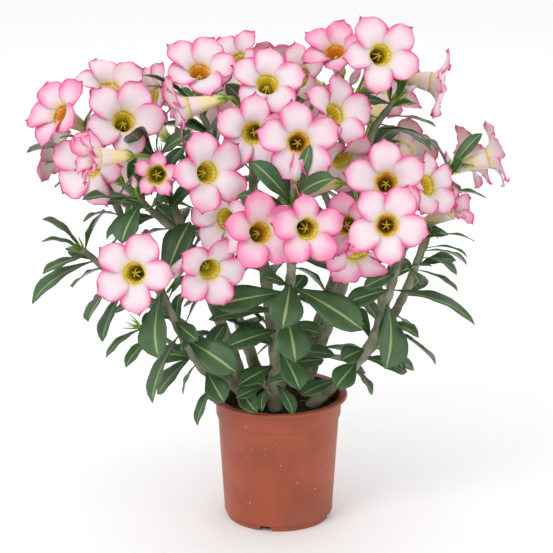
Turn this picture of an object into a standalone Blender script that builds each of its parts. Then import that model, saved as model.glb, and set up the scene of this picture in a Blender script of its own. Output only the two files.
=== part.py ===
"""Potted desert rose (adenium) in a soft plastic nursery pot.

Ten leafy branches fan out of the soil and carry trumpet flowers on short stalks.  Each branch
is one grown piece with its twigs, leaves and buds.  Each flower is a piece of its own that
stops just short of the twig that it hangs on.
"""
import math

import bmesh
import bpy
from mathutils import Matrix, Vector
from mathutils.bvhtree import BVHTree

# Pot, in metres.  The pot stands on z = 0 with its axis on the Z axis.
POT_HEIGHT = 0.1315
RIM_RADIUS = 0.0700
RIM_THICKNESS = 0.0045
BAND_RADIUS = 0.0635
BAND_BOTTOM = 0.1095
WALL_TOP_RADIUS = 0.0612
WALL_FOOT_RADIUS = 0.0555
FOOT_RADIUS = 0.0535
FOOT_HEIGHT = 0.0065
WALL = 0.0014
FLOOR_UNDERSIDE = 0.0030
CENTRE_PAD_RADIUS = 0.0180
POT_FACETS = 28
DRAIN_HOLES = 6
DRAIN_HOLE_RADIUS = 0.0045
DRAIN_RING_RADIUS = 0.0340
FOOT_NOTCHES = 4
FOOT_NOTCH_WIDTH = 0.0150
FIRST_NOTCH_ANGLE = math.radians(-104)

SOIL_EDGE_HEIGHT = 0.1190
SOIL_CENTRE_HEIGHT = 0.1250
GAP = 0.0003
FOOT_DEPTH = 0.1020

# Twigs: name -> (branch, points from the root end to the tip, root radius, tip radius).
TWIGS = {
    "left_front": ("branch_left_front", ((-0.018, -0.014, 0.105), (-0.040, -0.030, 0.145),
                   (-0.071, -0.050, 0.170), (-0.088, -0.062, 0.200), (-0.102, -0.070, 0.232),
                   (-0.113, -0.077, 0.265)), 0.0072, 0.0030),
    "left_front_low": ("branch_left_front", ((-0.064, -0.046, 0.164), (-0.088, -0.040, 0.182),
                       (-0.115, -0.032, 0.200), (-0.138, -0.030, 0.210)), 0.0030, 0.0020),
    "left": ("branch_left", ((-0.029, 0.002, 0.105), (-0.043, -0.006, 0.165),
             (-0.058, -0.020, 0.212), (-0.078, -0.030, 0.267), (-0.098, -0.037, 0.325),
             (-0.117, -0.038, 0.385)), 0.0070, 0.0032),
    "left_rosette": ("branch_left", ((-0.089, -0.034, 0.300), (-0.110, -0.050, 0.322),
                     (-0.134, -0.060, 0.348)), 0.0036, 0.0028),
    "far_left": ("branch_far_left", ((-0.022, 0.018, 0.105), (-0.062, 0.008, 0.165),
                 (-0.110, -0.004, 0.215), (-0.155, -0.018, 0.252), (-0.193, -0.030, 0.290)),
                 0.0066, 0.0030),
    "upper_left": ("branch_far_left", ((-0.105, -0.003, 0.211), (-0.138, 0.012, 0.270),
                   (-0.165, 0.006, 0.335), (-0.186, -0.012, 0.392)), 0.0046, 0.0030),
    "front": ("branch_front", ((-0.002, -0.026, 0.105), (-0.004, -0.036, 0.150),
              (-0.001, -0.046, 0.190), (0.004, -0.057, 0.225), (0.011, -0.069, 0.266),
              (0.013, -0.078, 0.310), (0.014, -0.086, 0.352)), 0.0078, 0.0036),
    "front_low": ("branch_front", ((-0.004, -0.032, 0.134), (-0.010, -0.044, 0.147),
                  (-0.016, -0.052, 0.158)), 0.0026, 0.0018),
    "centre": ("branch_centre", ((0.002, 0.002, 0.105), (-0.003, 0.006, 0.170),
               (-0.013, 0.006, 0.250), (-0.024, 0.002, 0.330), (-0.024, -0.006, 0.385),
               (-0.018, -0.012, 0.418)), 0.0080, 0.0034),
    "centre_left": ("branch_centre", ((-0.020, 0.003, 0.305), (-0.044, 0.010, 0.350),
                    (-0.066, 0.010, 0.395), (-0.080, 0.008, 0.428)), 0.0042, 0.0030),
    "centre_right": ("branch_centre", ((-0.019, 0.004, 0.298), (0.008, 0.002, 0.340),
                     (0.024, -0.006, 0.375), (0.030, -0.010, 0.400)), 0.0040, 0.0030),
    "upper_right": ("branch_upper_right", ((0.020, 0.018, 0.105), (0.038, 0.024, 0.160),
                    (0.062, 0.028, 0.225), (0.080, 0.028, 0.290), (0.086, 0.020, 0.350),
                    (0.092, 0.016, 0.395), (0.114, 0.014, 0.428)), 0.0070, 0.0034),
    "top": ("branch_upper_right", ((0.081, 0.028, 0.300), (0.066, 0.026, 0.350),
            (0.062, 0.020, 0.395), (0.066, 0.014, 0.430)), 0.0042, 0.0032),
    "right_front": ("branch_right_front", ((0.020, -0.014, 0.105), (0.045, -0.022, 0.137),
                    (0.074, -0.032, 0.169), (0.092, -0.044, 0.200), (0.105, -0.056, 0.245),
                    (0.120, -0.062, 0.298)), 0.0070, 0.0034),
    "right_inner": ("branch_right_front", ((0.101, -0.052, 0.230), (0.096, -0.060, 0.275),
                    (0.094, -0.062, 0.320)), 0.0040, 0.0030),
    "right": ("branch_right", ((0.031, 0.002, 0.105), (0.062, 0.006, 0.143),
              (0.094, -0.002, 0.180), (0.120, -0.010, 0.226), (0.136, -0.016, 0.270),
              (0.145, -0.020, 0.303)), 0.0068, 0.0032),
    "far_right": ("branch_right", ((0.128, -0.013, 0.248), (0.146, -0.004, 0.290),
                  (0.158, -0.004, 0.330), (0.166, -0.008, 0.362)), 0.0036, 0.0028),
    "back_left": ("branch_back_left", ((-0.010, 0.030, 0.105), (-0.034, 0.050, 0.170),
                  (-0.062, 0.078, 0.240), (-0.084, 0.098, 0.310), (-0.095, 0.102, 0.372)),
                  0.0070, 0.0032),
    "back_far_left": ("branch_back_left", ((-0.052, 0.068, 0.215), (-0.092, 0.080, 0.262),
                      (-0.132, 0.082, 0.300), (-0.160, 0.074, 0.330)), 0.0042, 0.0030),
    "back_top_left": ("branch_back_left", ((-0.070, 0.086, 0.265), (-0.052, 0.104, 0.325),
                      (-0.038, 0.110, 0.378)), 0.0040, 0.0030),
    "back_right": ("branch_back_right", ((0.012, 0.032, 0.105), (0.036, 0.056, 0.170),
                   (0.062, 0.084, 0.240), (0.082, 0.100, 0.305), (0.090, 0.104, 0.362)),
                   0.0070, 0.0032),
    "back_far_right": ("branch_back_right", ((0.054, 0.075, 0.218), (0.094, 0.080, 0.262),
                       (0.130, 0.078, 0.300), (0.158, 0.066, 0.330)), 0.0042, 0.0030),
    "back_top_right": ("branch_back_right", ((0.068, 0.089, 0.260), (0.044, 0.108, 0.322),
                       (0.026, 0.112, 0.380)), 0.0040, 0.0030),
}

# Flowers: (mouth centre, turn to the right of the front, lift above level, roll of the first
# petal, spread across the petals, how far the petals stay closed from 0 to 1), degrees.
FLOWERS = (
    ((0.097, -0.014, 0.478), 10, 15, 105, 0.080, 0.15),
    ((0.054, 0.000, 0.480), -15, 48, 70, 0.070, 0.35),
    ((0.024, 0.034, 0.446), -40, 25, 100, 0.072, 0.25),
    ((0.148, 0.016, 0.446), 80, -8, 80, 0.070, 0.25),
    ((0.052, -0.034, 0.424), 38, 28, 60, 0.078, 0.20),
    ((0.018, -0.068, 0.404), 5, 15, 85, 0.080, 0.10),
    ((-0.024, -0.066, 0.413), -5, 10, 80, 0.074, 0.10),
    ((-0.011, -0.032, 0.452), 5, 35, 75, 0.076, 0.20),
    ((-0.076, -0.014, 0.460), 5, 46, 60, 0.080, 0.30),
    ((-0.040, 0.034, 0.462), -40, 40, 60, 0.066, 0.30),
    ((-0.082, -0.052, 0.436), -78, -12, 60, 0.074, 0.25),
    ((-0.118, 0.030, 0.430), -60, 20, 60, 0.066, 0.25),
    ((-0.206, -0.036, 0.424), -45, 32, 50, 0.078, 0.25),
    ((-0.166, 0.022, 0.436), 15, 58, 90, 0.074, 0.25),
    ((-0.148, -0.040, 0.418), 10, 28, 55, 0.080, 0.15),
    ((-0.168, -0.102, 0.398), -60, 4, 60, 0.058, 0.60),
    ((-0.178, -0.050, 0.378), -25, -5, 70, 0.082, 0.20),
    ((-0.212, 0.022, 0.376), -110, 5, 80, 0.070, 0.25),
    ((-0.114, -0.092, 0.379), 0, 12, 75, 0.046, 0.50),
    ((-0.068, -0.088, 0.380), 28, 14, 95, 0.082, 0.15),
    ((-0.136, -0.102, 0.286), -5, 16, 60, 0.080, 0.10),
    ((-0.066, -0.094, 0.288), 20, -2, 60, 0.074, 0.20),
    ((-0.018, -0.118, 0.330), 18, 20, 85, 0.078, 0.20),
    ((0.026, -0.126, 0.336), 10, 10, 85, 0.070, 0.20),
    ((-0.054, -0.086, 0.334), -35, 8, 90, 0.072, 0.20),
    ((0.063, -0.106, 0.334), -12, 16, 95, 0.068, 0.35),
    ((0.074, -0.092, 0.304), 12, -38, 90, 0.072, 0.25),
    ((0.101, -0.094, 0.372), 0, 20, 90, 0.080, 0.10),
    ((0.100, -0.114, 0.336), 0, 16, 50, 0.078, 0.15),
    ((0.140, -0.058, 0.360), 45, 20, 75, 0.066, 0.20),
    ((0.203, -0.004, 0.374), 96, 14, 60, 0.070, 0.20),
    ((0.166, -0.034, 0.330), 66, 32, 60, 0.054, 0.70),
    ((0.060, -0.036, 0.382), 24, -22, 60, 0.072, 0.25),
    ((0.042, -0.064, 0.362), -78, -4, 60, 0.070, 0.25),
    ((-0.090, 0.140, 0.402), 172, 20, 90, 0.078, 0.15),
    ((-0.132, 0.112, 0.388), 218, 26, 60, 0.074, 0.20),
    ((-0.040, 0.146, 0.408), 180, 22, 75, 0.078, 0.15),
    ((0.012, 0.138, 0.414), 190, 28, 50, 0.076, 0.20),
    ((0.060, 0.140, 0.384), 176, 10, 80, 0.078, 0.10),
    ((0.104, 0.122, 0.398), 150, 34, 60, 0.074, 0.20),
    ((0.130, 0.110, 0.354), 140, 10, 90, 0.076, 0.15),
    ((0.190, 0.082, 0.350), 112, 20, 60, 0.076, 0.15),
    ((-0.194, 0.088, 0.346), 246, 20, 80, 0.076, 0.15),
    ((-0.148, 0.128, 0.318), 205, 4, 50, 0.074, 0.20),
    ((-0.010, 0.070, 0.446), 190, 46, 60, 0.078, 0.15),
    ((0.100, 0.056, 0.450), 150, 34, 75, 0.076, 0.20),
)
TUBE_LENGTH = 0.036
MOUTH_RADIUS = 0.0100
PETAL_THICKNESS = 0.0008
STALK_RADIUS = 0.0013
STALK_SPACING = 0.0060

# Leaves that give the plant its outline: (twig, height of the leaf base, leaf tip, width).
LEAVES = (
    ("left_front", 0.260, (-0.114, -0.108, 0.205), 0.031),
    ("left_front", 0.215, (-0.122, -0.092, 0.155), 0.024),
    ("left_front", 0.190, (-0.118, -0.058, 0.150), 0.020),
    ("left_front", 0.208, (-0.043, -0.092, 0.185), 0.026),
    ("left_front", 0.172, (-0.053, -0.082, 0.150), 0.019),
    ("left_front", 0.160, (-0.080, -0.058, 0.118), 0.014),
    ("left_front_low", 0.176, (-0.095, -0.030, 0.140), 0.008),
    ("left_front_low", 0.208, (-0.170, -0.034, 0.180), 0.010),
    ("left_front_low", 0.202, (-0.150, -0.046, 0.174), 0.013),
    ("far_left", 0.248, (-0.172, -0.054, 0.204), 0.019),
    ("far_left", 0.254, (-0.184, -0.066, 0.228), 0.022),
    ("left_front", 0.250, (-0.158, -0.080, 0.240), 0.016),
    ("far_left", 0.276, (-0.240, -0.042, 0.240), 0.019),
    ("far_left", 0.288, (-0.228, -0.034, 0.320), 0.023),
    ("far_left", 0.284, (-0.228, -0.038, 0.300), 0.010),
    ("far_left", 0.282, (-0.228, -0.046, 0.270), 0.013),
    ("far_left", 0.286, (-0.168, -0.042, 0.330), 0.023),
    ("far_left", 0.268, (-0.198, -0.066, 0.262), 0.016),
    ("left_front", 0.258, (-0.086, -0.048, 0.320), 0.026),
    ("left_rosette", 0.344, (-0.148, -0.086, 0.312), 0.024),
    ("left_rosette", 0.340, (-0.164, -0.064, 0.310), 0.014),
    ("front", 0.257, (-0.060, -0.088, 0.250), 0.022),
    ("front", 0.236, (-0.066, -0.056, 0.226), 0.018),
    ("left_front", 0.228, (-0.078, -0.096, 0.218), 0.014),
    ("front", 0.214, (-0.048, -0.080, 0.206), 0.019),
    ("front", 0.174, (-0.038, -0.072, 0.164), 0.016),
    ("front_low", 0.156, (0.008, -0.072, 0.170), 0.009),
    ("front_low", 0.154, (-0.040, -0.070, 0.150), 0.011),
    ("front_low", 0.150, (-0.016, -0.084, 0.142), 0.009),
    ("left_front", 0.143, (-0.022, -0.080, 0.139), 0.015),
    ("front", 0.152, (0.014, -0.082, 0.138), 0.012),
    ("front", 0.268, (0.004, -0.108, 0.234), 0.026),
    ("front", 0.234, (0.016, -0.094, 0.196), 0.028),
    ("front", 0.192, (0.020, -0.078, 0.162), 0.023),
    ("front", 0.263, (0.078, -0.098, 0.230), 0.027),
    ("right_front", 0.244, (0.103, -0.094, 0.190), 0.036),
    ("right_front", 0.256, (0.176, -0.064, 0.237), 0.026),
    ("right", 0.236, (0.192, -0.030, 0.214), 0.012),
    ("right", 0.202, (0.154, -0.040, 0.176), 0.024),
    ("right", 0.196, (0.122, -0.036, 0.168), 0.015),
    ("right_front", 0.176, (0.056, -0.068, 0.160), 0.019),
    ("front", 0.188, (0.054, -0.054, 0.188), 0.014),
    ("right_front", 0.152, (0.024, -0.062, 0.150), 0.016),
    ("right_front", 0.272, (0.082, -0.088, 0.268), 0.012),
    ("right_front", 0.256, (0.066, -0.080, 0.250), 0.016),
    ("front", 0.294, (0.064, -0.084, 0.276), 0.019),
    ("far_right", 0.340, (0.200, -0.024, 0.340), 0.010),
    ("right", 0.298, (0.190, -0.030, 0.298), 0.010),
    ("right", 0.284, (0.182, -0.040, 0.286), 0.008),
    ("right", 0.276, (0.172, -0.048, 0.270), 0.012),
    ("right", 0.264, (0.174, -0.038, 0.250), 0.013),
    ("right", 0.254, (0.156, -0.054, 0.242), 0.014),
    ("right_front", 0.286, (0.134, -0.094, 0.272), 0.014),
    ("right", 0.296, (0.160, -0.050, 0.312), 0.013),
    ("right", 0.155, (0.094, -0.010, 0.132), 0.011),
    ("right", 0.150, (0.088, 0.016, 0.146), 0.009),
    ("right_front", 0.190, (0.062, -0.056, 0.184), 0.016),
    ("right_front", 0.240, (0.084, -0.066, 0.214), 0.014),
    ("upper_left", 0.380, (-0.240, -0.036, 0.388), 0.024),
    ("upper_left", 0.368, (-0.226, -0.020, 0.372), 0.007),
    ("upper_left", 0.356, (-0.216, -0.030, 0.352), 0.013),
    ("centre_left", 0.420, (-0.130, 0.010, 0.456), 0.015),
    ("centre_left", 0.416, (-0.126, 0.022, 0.442), 0.008),
    ("centre_left", 0.392, (-0.112, -0.016, 0.410), 0.017),
    ("left", 0.378, (-0.148, -0.082, 0.414), 0.018),
    ("left", 0.380, (-0.084, -0.070, 0.412), 0.018),
    ("left", 0.382, (-0.104, -0.030, 0.428), 0.013),
    ("centre_left", 0.386, (-0.050, -0.036, 0.412), 0.016),
    ("centre", 0.412, (-0.050, -0.010, 0.448), 0.015),
    ("upper_left", 0.388, (-0.196, -0.052, 0.436), 0.012),
    ("upper_left", 0.386, (-0.170, -0.044, 0.440), 0.012),
    ("left_rosette", 0.346, (-0.184, -0.078, 0.352), 0.016),
    ("left_rosette", 0.338, (-0.172, -0.052, 0.336), 0.013),
    ("left", 0.342, (-0.098, -0.068, 0.368), 0.010),
    ("centre", 0.410, (0.024, -0.016, 0.434), 0.017),
    ("upper_right", 0.418, (0.098, 0.024, 0.464), 0.014),
    ("upper_right", 0.424, (0.118, -0.002, 0.462), 0.011),
    ("upper_right", 0.424, (0.072, -0.006, 0.432), 0.013),
    ("upper_right", 0.408, (0.078, -0.012, 0.416), 0.011),
    ("upper_right", 0.412, (0.152, -0.002, 0.406), 0.010),
    ("upper_right", 0.398, (0.146, -0.018, 0.392), 0.014),
    ("upper_right", 0.404, (0.150, 0.018, 0.378), 0.009),
    ("far_right", 0.354, (0.144, -0.030, 0.398), 0.012),
    ("far_right", 0.358, (0.200, -0.020, 0.394), 0.011),
    ("far_right", 0.352, (0.170, -0.044, 0.386), 0.009),
    ("upper_right", 0.362, (0.052, -0.004, 0.384), 0.014),
    ("upper_right", 0.352, (0.092, -0.022, 0.382), 0.014),
    ("front", 0.346, (-0.024, -0.106, 0.394), 0.017),
    ("front", 0.340, (-0.006, -0.056, 0.382), 0.014),
    ("front", 0.348, (0.064, -0.104, 0.382), 0.018),
    ("front", 0.346, (0.020, -0.070, 0.404), 0.010),
    ("front", 0.336, (-0.036, -0.112, 0.364), 0.013),
)

# Leaves that follow the spiral rule of the plant: twig -> (first height, last height, count,
# leaf length).
SPIRALS = {
    "left_front": (0.170, 0.262, 7, 0.050),
    "left": (0.170, 0.380, 10, 0.056),
    "left_rosette": (0.322, 0.346, 5, 0.046),
    "far_left": (0.200, 0.288, 8, 0.052),
    "upper_left": (0.250, 0.388, 10, 0.054),
    "front": (0.170, 0.330, 8, 0.048),
    "centre": (0.170, 0.400, 12, 0.058),
    "centre_left": (0.340, 0.424, 7, 0.050),
    "centre_right": (0.330, 0.398, 6, 0.050),
    "upper_right": (0.170, 0.420, 11, 0.056),
    "top": (0.340, 0.426, 7, 0.050),
    "right_front": (0.180, 0.290, 7, 0.050),
    "right_inner": (0.260, 0.316, 4, 0.046),
    "right": (0.180, 0.300, 8, 0.050),
    "far_right": (0.280, 0.358, 6, 0.048),
    "back_left": (0.150, 0.368, 15, 0.062),
    "back_far_left": (0.240, 0.328, 10, 0.056),
    "back_top_left": (0.300, 0.374, 9, 0.054),
    "back_right": (0.150, 0.358, 15, 0.062),
    "back_far_right": (0.240, 0.328, 10, 0.056),
    "back_top_right": (0.300, 0.376, 9, 0.054),
}
GOLDEN_ANGLE = math.radians(137.5)
LEAF_THICKNESS = 0.0018
LEAF_ARCH = 0.10
# A leaf that would touch a neighbour is turned about its twig or lifted, in degrees.
LEAF_TURNS = ((0, 0), (14, 0), (-14, 0), (0, 14), (0, -14), (28, 6), (-28, 6), (0, 28), (42, 0), (-42, 0))
# A flower that would touch a neighbour slides along its own axis, in metres.
FLOWER_SLIDES = (0.0, 0.003, -0.003, 0.006, -0.006, 0.009, -0.009, 0.013, -0.013, 0.017, -0.017, 0.022)

# Buds: (twig, bud foot, bud tip, widest radius).
BUDS = (
    ("front", (0.016, -0.092, 0.372), (0.014, -0.096, 0.404), 0.0062),
    ("top", (0.070, 0.004, 0.446), (0.080, -0.002, 0.466), 0.0052),
    ("top", (0.084, 0.006, 0.442), (0.096, -0.002, 0.458), 0.0052),
    ("left_front", (-0.104, -0.086, 0.276), (-0.086, -0.096, 0.302), 0.0062),
    ("left_rosette", (-0.136, -0.068, 0.360), (-0.138, -0.072, 0.374), 0.0034),
    ("upper_right", (0.124, 0.008, 0.438), (0.136, 0.004, 0.446), 0.0032),
    ("far_right", (0.164, -0.014, 0.372), (0.162, -0.020, 0.386), 0.0034),
)


# ---------------------------------------------------------------- scene helpers

def start_scene():
    for obj in list(bpy.data.objects):
        bpy.data.objects.remove(obj)


def make_collection(name):
    collection = bpy.data.collections.new(name)
    bpy.context.scene.collection.children.link(collection)
    return collection


def make_material(name, color, roughness):
    material = bpy.data.materials.new(name)
    material.use_nodes = True
    shader = material.node_tree.nodes["Principled BSDF"]
    shader.inputs["Base Color"].default_value = (*color, 1.0)
    shader.inputs["Roughness"].default_value = roughness
    shader.inputs["Metallic"].default_value = 0.0
    material.diffuse_color = (*color, 1.0)
    return material


def mesh_object(name, bm, material, collection):
    mesh = bpy.data.meshes.new(name)
    bm.normal_update()
    bm.to_mesh(mesh)
    bm.free()
    mesh.materials.append(material)
    obj = bpy.data.objects.new(name, mesh)
    collection.objects.link(obj)
    return obj


def apply_modifiers(obj):
    """Replace the object's mesh with its evaluated one and drop the modifiers."""
    evaluated = obj.evaluated_get(bpy.context.evaluated_depsgraph_get())
    mesh = bpy.data.meshes.new_from_object(evaluated)
    obj.modifiers.clear()
    obj.data = mesh


def add_cut(obj, cutter):
    cutter.hide_render = True
    cutter.display_type = "WIRE"
    cut = obj.modifiers.new(cutter.name, "BOOLEAN")
    cut.operation = "DIFFERENCE"
    cut.object = cutter


def union(base, extras):
    """Join closed solids that overlap into one closed body, in the first one's object."""
    for extra in extras:
        joint = base.modifiers.new(extra.name, "BOOLEAN")
        joint.operation = "UNION"
        joint.object = extra
    apply_modifiers(base)
    for extra in extras:
        bpy.data.objects.remove(extra)


# ---------------------------------------------------------------- pot and soil

def turned(name, profile, material, collection):
    """A turned solid from a profile of (radius, height) points that starts and ends on the axis."""
    bm = bmesh.new()
    verts = [bm.verts.new((radius, 0.0, height)) for radius, height in profile]
    for first, second in zip(verts, verts[1:]):
        bm.edges.new((first, second))
    obj = mesh_object(name, bm, material, collection)
    screw = obj.modifiers.new("Turn", "SCREW")
    screw.steps = POT_FACETS
    screw.render_steps = POT_FACETS
    screw.use_merge_vertices = True
    screw.merge_threshold = 0.0001
    return obj


def make_pot(material, parts, cutters):
    inner_floor = FLOOR_UNDERSIDE + WALL
    profile = (
        (0.0, inner_floor),
        (FOOT_RADIUS - WALL, inner_floor),
        (WALL_FOOT_RADIUS - WALL, FOOT_HEIGHT + WALL),
        (WALL_TOP_RADIUS - WALL, BAND_BOTTOM),
        (BAND_RADIUS - WALL, BAND_BOTTOM + 0.0025),
        (BAND_RADIUS - WALL, POT_HEIGHT - 0.0010),
        (BAND_RADIUS + 0.0005, POT_HEIGHT),
        (RIM_RADIUS - 0.0012, POT_HEIGHT),
        (RIM_RADIUS, POT_HEIGHT - 0.0014),
        (RIM_RADIUS, POT_HEIGHT - RIM_THICKNESS),
        (BAND_RADIUS, POT_HEIGHT - RIM_THICKNESS - 0.0006),
        (BAND_RADIUS - 0.0004, BAND_BOTTOM),
        (WALL_TOP_RADIUS, BAND_BOTTOM - 0.0018),
        (WALL_FOOT_RADIUS, FOOT_HEIGHT),
        (FOOT_RADIUS, FOOT_HEIGHT - 0.0010),
        (FOOT_RADIUS - 0.0008, 0.0),
        (FOOT_RADIUS - 0.0052, 0.0),
        (FOOT_RADIUS - 0.0060, FLOOR_UNDERSIDE),
        (CENTRE_PAD_RADIUS + 0.0015, FLOOR_UNDERSIDE),
        (CENTRE_PAD_RADIUS, 0.0),
        (0.0, 0.0),
    )
    pot = turned("pot", profile, material, parts)
    for index in range(DRAIN_HOLES):
        angle = math.tau * (index + 0.5) / DRAIN_HOLES
        place = (DRAIN_RING_RADIUS * math.cos(angle), DRAIN_RING_RADIUS * math.sin(angle), 0.0)
        bpy.ops.mesh.primitive_cylinder_add(vertices=10, radius=DRAIN_HOLE_RADIUS, depth=0.02,
                                            location=place, rotation=(0.0, 0.0, angle + 0.11))
        move_to_cutters(bpy.context.object, "drain_hole_cutter_%d" % (index + 1), cutters)
        add_cut(pot, bpy.context.object)
    for index in range(FOOT_NOTCHES):
        angle = FIRST_NOTCH_ANGLE + math.tau * index / FOOT_NOTCHES
        bpy.ops.mesh.primitive_cone_add(vertices=4, radius1=FOOT_NOTCH_WIDTH * 0.72,
                                        radius2=FOOT_NOTCH_WIDTH * 0.50, depth=0.0112)
        notch = bpy.context.object
        notch.rotation_euler = (0.0, 0.0, angle + math.pi / 4)
        notch.location = (FOOT_RADIUS * math.cos(angle), FOOT_RADIUS * math.sin(angle), 0.0)
        move_to_cutters(notch, "foot_notch_cutter_%d" % (index + 1), cutters)
        add_cut(pot, notch)
    return pot


def move_to_cutters(obj, name, cutters):
    obj.name = name
    for collection in list(obj.users_collection):
        collection.objects.unlink(obj)
    cutters.objects.link(obj)


def make_soil(material, parts, cutters):
    floor = FLOOR_UNDERSIDE + WALL + GAP
    foot = WALL_FOOT_RADIUS - WALL - GAP * 2
    top = WALL_TOP_RADIUS - WALL - GAP * 2
    profile = (
        (0.0, SOIL_CENTRE_HEIGHT),
        (0.030, SOIL_CENTRE_HEIGHT - 0.0012),
        (0.050, SOIL_EDGE_HEIGHT + 0.0010),
        (top, SOIL_EDGE_HEIGHT),
        (top, BAND_BOTTOM),
        (foot, FOOT_HEIGHT + WALL * 2),
        (FOOT_RADIUS - WALL - GAP * 3, floor),
        (0.0, floor),
    )
    soil = turned("soil", profile, material, parts)
    for name, (branch, points, radius, tip_radius) in TWIGS.items():
        if points[0][2] > FOOT_DEPTH + 0.01:
            continue
        path = smooth_path(points)
        socket = make_tube("socket_" + name, path[:4], (radius + GAP) * 1.12, (radius + GAP) * 1.12,
                           material, cutters, sides=2)
        low = min(vertex.co.z for vertex in socket.data.vertices)
        for vertex in socket.data.vertices:
            if vertex.co.z < low + 0.004:
                vertex.co.z -= 0.0015
        add_cut(soil, socket)
    return soil


# ---------------------------------------------------------------- twigs

def smooth_path(points, step=0.028):
    """Points about a step apart on a smooth curve through the given points."""
    given = [Vector(point) for point in points]
    ends = [given[0] * 2 - given[1]] + given + [given[-1] * 2 - given[-2]]
    path = []
    for index in range(len(given) - 1):
        before, start, end, after = ends[index:index + 4]
        count = max(1, round((end - start).length / step))
        for k in range(count):
            t = k / count
            path.append(0.5 * (2 * start + (end - before) * t
                               + (2 * before - 5 * start + 4 * end - after) * t * t
                               + (3 * start - before - 3 * end + after) * t ** 3))
    path.append(given[-1])
    return path


def make_tube(name, path, start_radius, end_radius, material, collection, sides=1):
    """A closed tapering tube along a path; its number of sides is 4 + 2 * sides."""
    curve = bpy.data.curves.new(name, "CURVE")
    curve.dimensions = "3D"
    curve.bevel_depth = 1.0
    curve.bevel_resolution = sides
    curve.use_fill_caps = True
    spline = curve.splines.new("POLY")
    spline.points.add(len(path) - 1)
    for index, place in enumerate(path):
        t = index / (len(path) - 1)
        spline.points[index].co = (*place, 1.0)
        spline.points[index].radius = start_radius + (end_radius - start_radius) * t
    obj = bpy.data.objects.new(name, curve)
    collection.objects.link(obj)
    bpy.context.view_layer.update()
    mesh = bpy.data.meshes.new_from_object(obj.evaluated_get(bpy.context.evaluated_depsgraph_get()))
    collection.objects.unlink(obj)
    bpy.data.objects.remove(obj)
    bm = bmesh.new()
    bm.from_mesh(mesh)
    bmesh.ops.remove_doubles(bm, verts=bm.verts, dist=0.00001)
    bmesh.ops.recalc_face_normals(bm, faces=bm.faces)
    return mesh_object(name, bm, material, collection)


def point_at_height(path, height):
    """The place on a rising path at a height, and the path's direction there."""
    for low, high in zip(path, path[1:]):
        if low.z <= height <= high.z:
            t = (height - low.z) / max(high.z - low.z, 1e-6)
            return low.lerp(high, t), (high - low).normalized()
    return path[-1].copy(), (path[-1] - path[-2]).normalized()


# ---------------------------------------------------------------- leaves and buds

def leaf_breadth(t):
    """Half width of a spoon-shaped leaf along its length, from 0 to 1."""
    return math.sin(math.pi * min(max(t, 0.0), 1.0) ** 1.9) ** 0.7


def leaf_frame(base, tip):
    """The leaf's length, side and upper-face directions."""
    along = (tip - base).normalized()
    outward = Vector((base.x, base.y, 0.0)).normalized() + Vector((tip.x - base.x, tip.y - base.y, 0.0)) * 4
    face = Vector((0.0, 0.0, 0.8)) + outward.normalized() * 0.6
    face = (face - along * face.dot(along)).normalized()
    return along, face.cross(along).normalized(), face


def leaf_tips(base, tip, direction):
    """The leaf's own tip first, then its tip after each turn or lift that may free it."""
    reach = tip - base
    side = reach.cross(Vector((0.0, 0.0, 1.0))).normalized()
    for turn, lift in LEAF_TURNS:
        turned_reach = Matrix.Rotation(math.radians(turn), 3, direction) @ reach
        yield base + Matrix.Rotation(math.radians(lift), 3, side) @ turned_reach


def spiral_leaves(name, path):
    """Leaf bases and tips up a twig, each turned by the golden angle from the last."""
    first, last, count, length = SPIRALS[name]
    for index in range(count):
        t = index / max(count - 1, 1)
        base, direction = point_at_height(path, first + (last - first) * t)
        side = direction.cross(Vector((0.3, -1.0, 0.2))).normalized()
        radial = Matrix.Rotation(GOLDEN_ANGLE * index, 3, direction) @ side
        size = length * (1.0 - 0.35 * t * t) * (0.9 + 0.1 * math.cos(index * 2.4))
        rise = 0.10 + 0.75 * t
        tip = base + (radial + direction * rise).normalized() * size
        yield base, tip, direction, size * (0.36 + 0.04 * math.sin(index * 1.7))


def make_leaf(name, base, tip, width, material, collection):
    """A closed, arched, spoon-shaped leaf."""
    along, side, face = leaf_frame(base, tip)
    length = (tip - base).length
    bm = bmesh.new()
    bmesh.ops.create_uvsphere(bm, u_segments=4, v_segments=3, radius=1.0)
    for vertex in bm.verts:
        t = (vertex.co.z + 1.0) / 2.0
        t = t ** 0.75
        flat = max(math.hypot(vertex.co.x, vertex.co.y), 1e-9)
        breadth = leaf_breadth(t) * width / 2 if 0.01 < t < 0.99 else 0.0
        thick = LEAF_THICKNESS / 2 * (1.0 - 0.5 * t) if breadth else 0.0
        across = vertex.co.x / flat * breadth
        up = vertex.co.y / flat * thick
        arch = length * LEAF_ARCH * 4 * t * (1 - t)
        vertex.co = base + along * (length * t) + side * across + face * (up + arch)
    bmesh.ops.recalc_face_normals(bm, faces=bm.faces)
    return mesh_object(name, bm, material, collection)


def make_bud(name, foot, tip, radius, material, collection):
    """A closed spindle, widest below its middle."""
    axis = tip - foot
    turn = axis.to_track_quat("Z", "Y").to_matrix()
    bm = bmesh.new()
    bmesh.ops.create_uvsphere(bm, u_segments=6, v_segments=5, radius=1.0)
    for vertex in bm.verts:
        t = (vertex.co.z + 1.0) / 2.0
        wide = radius * (1.15 - 0.5 * t)
        vertex.co = foot + turn @ Vector((vertex.co.x * wide, vertex.co.y * wide, axis.length * t))
    return mesh_object(name, bm, material, collection)


# ---------------------------------------------------------------- flowers

def flower_matrix(mouth, turn, lift, roll):
    """Flower space to plant space: the flower looks along its own +Z."""
    turn, lift = math.radians(turn), math.radians(lift)
    axis = Vector((math.sin(turn) * math.cos(lift), -math.cos(turn) * math.cos(lift), math.sin(lift)))
    right = Vector((math.cos(turn), math.sin(turn), 0.0))
    up = axis.cross(right)
    frame = Matrix((right, up, axis)).transposed() @ Matrix.Rotation(math.radians(roll), 3, "Z")
    return Matrix.Translation(mouth) @ frame.to_4x4()


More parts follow.
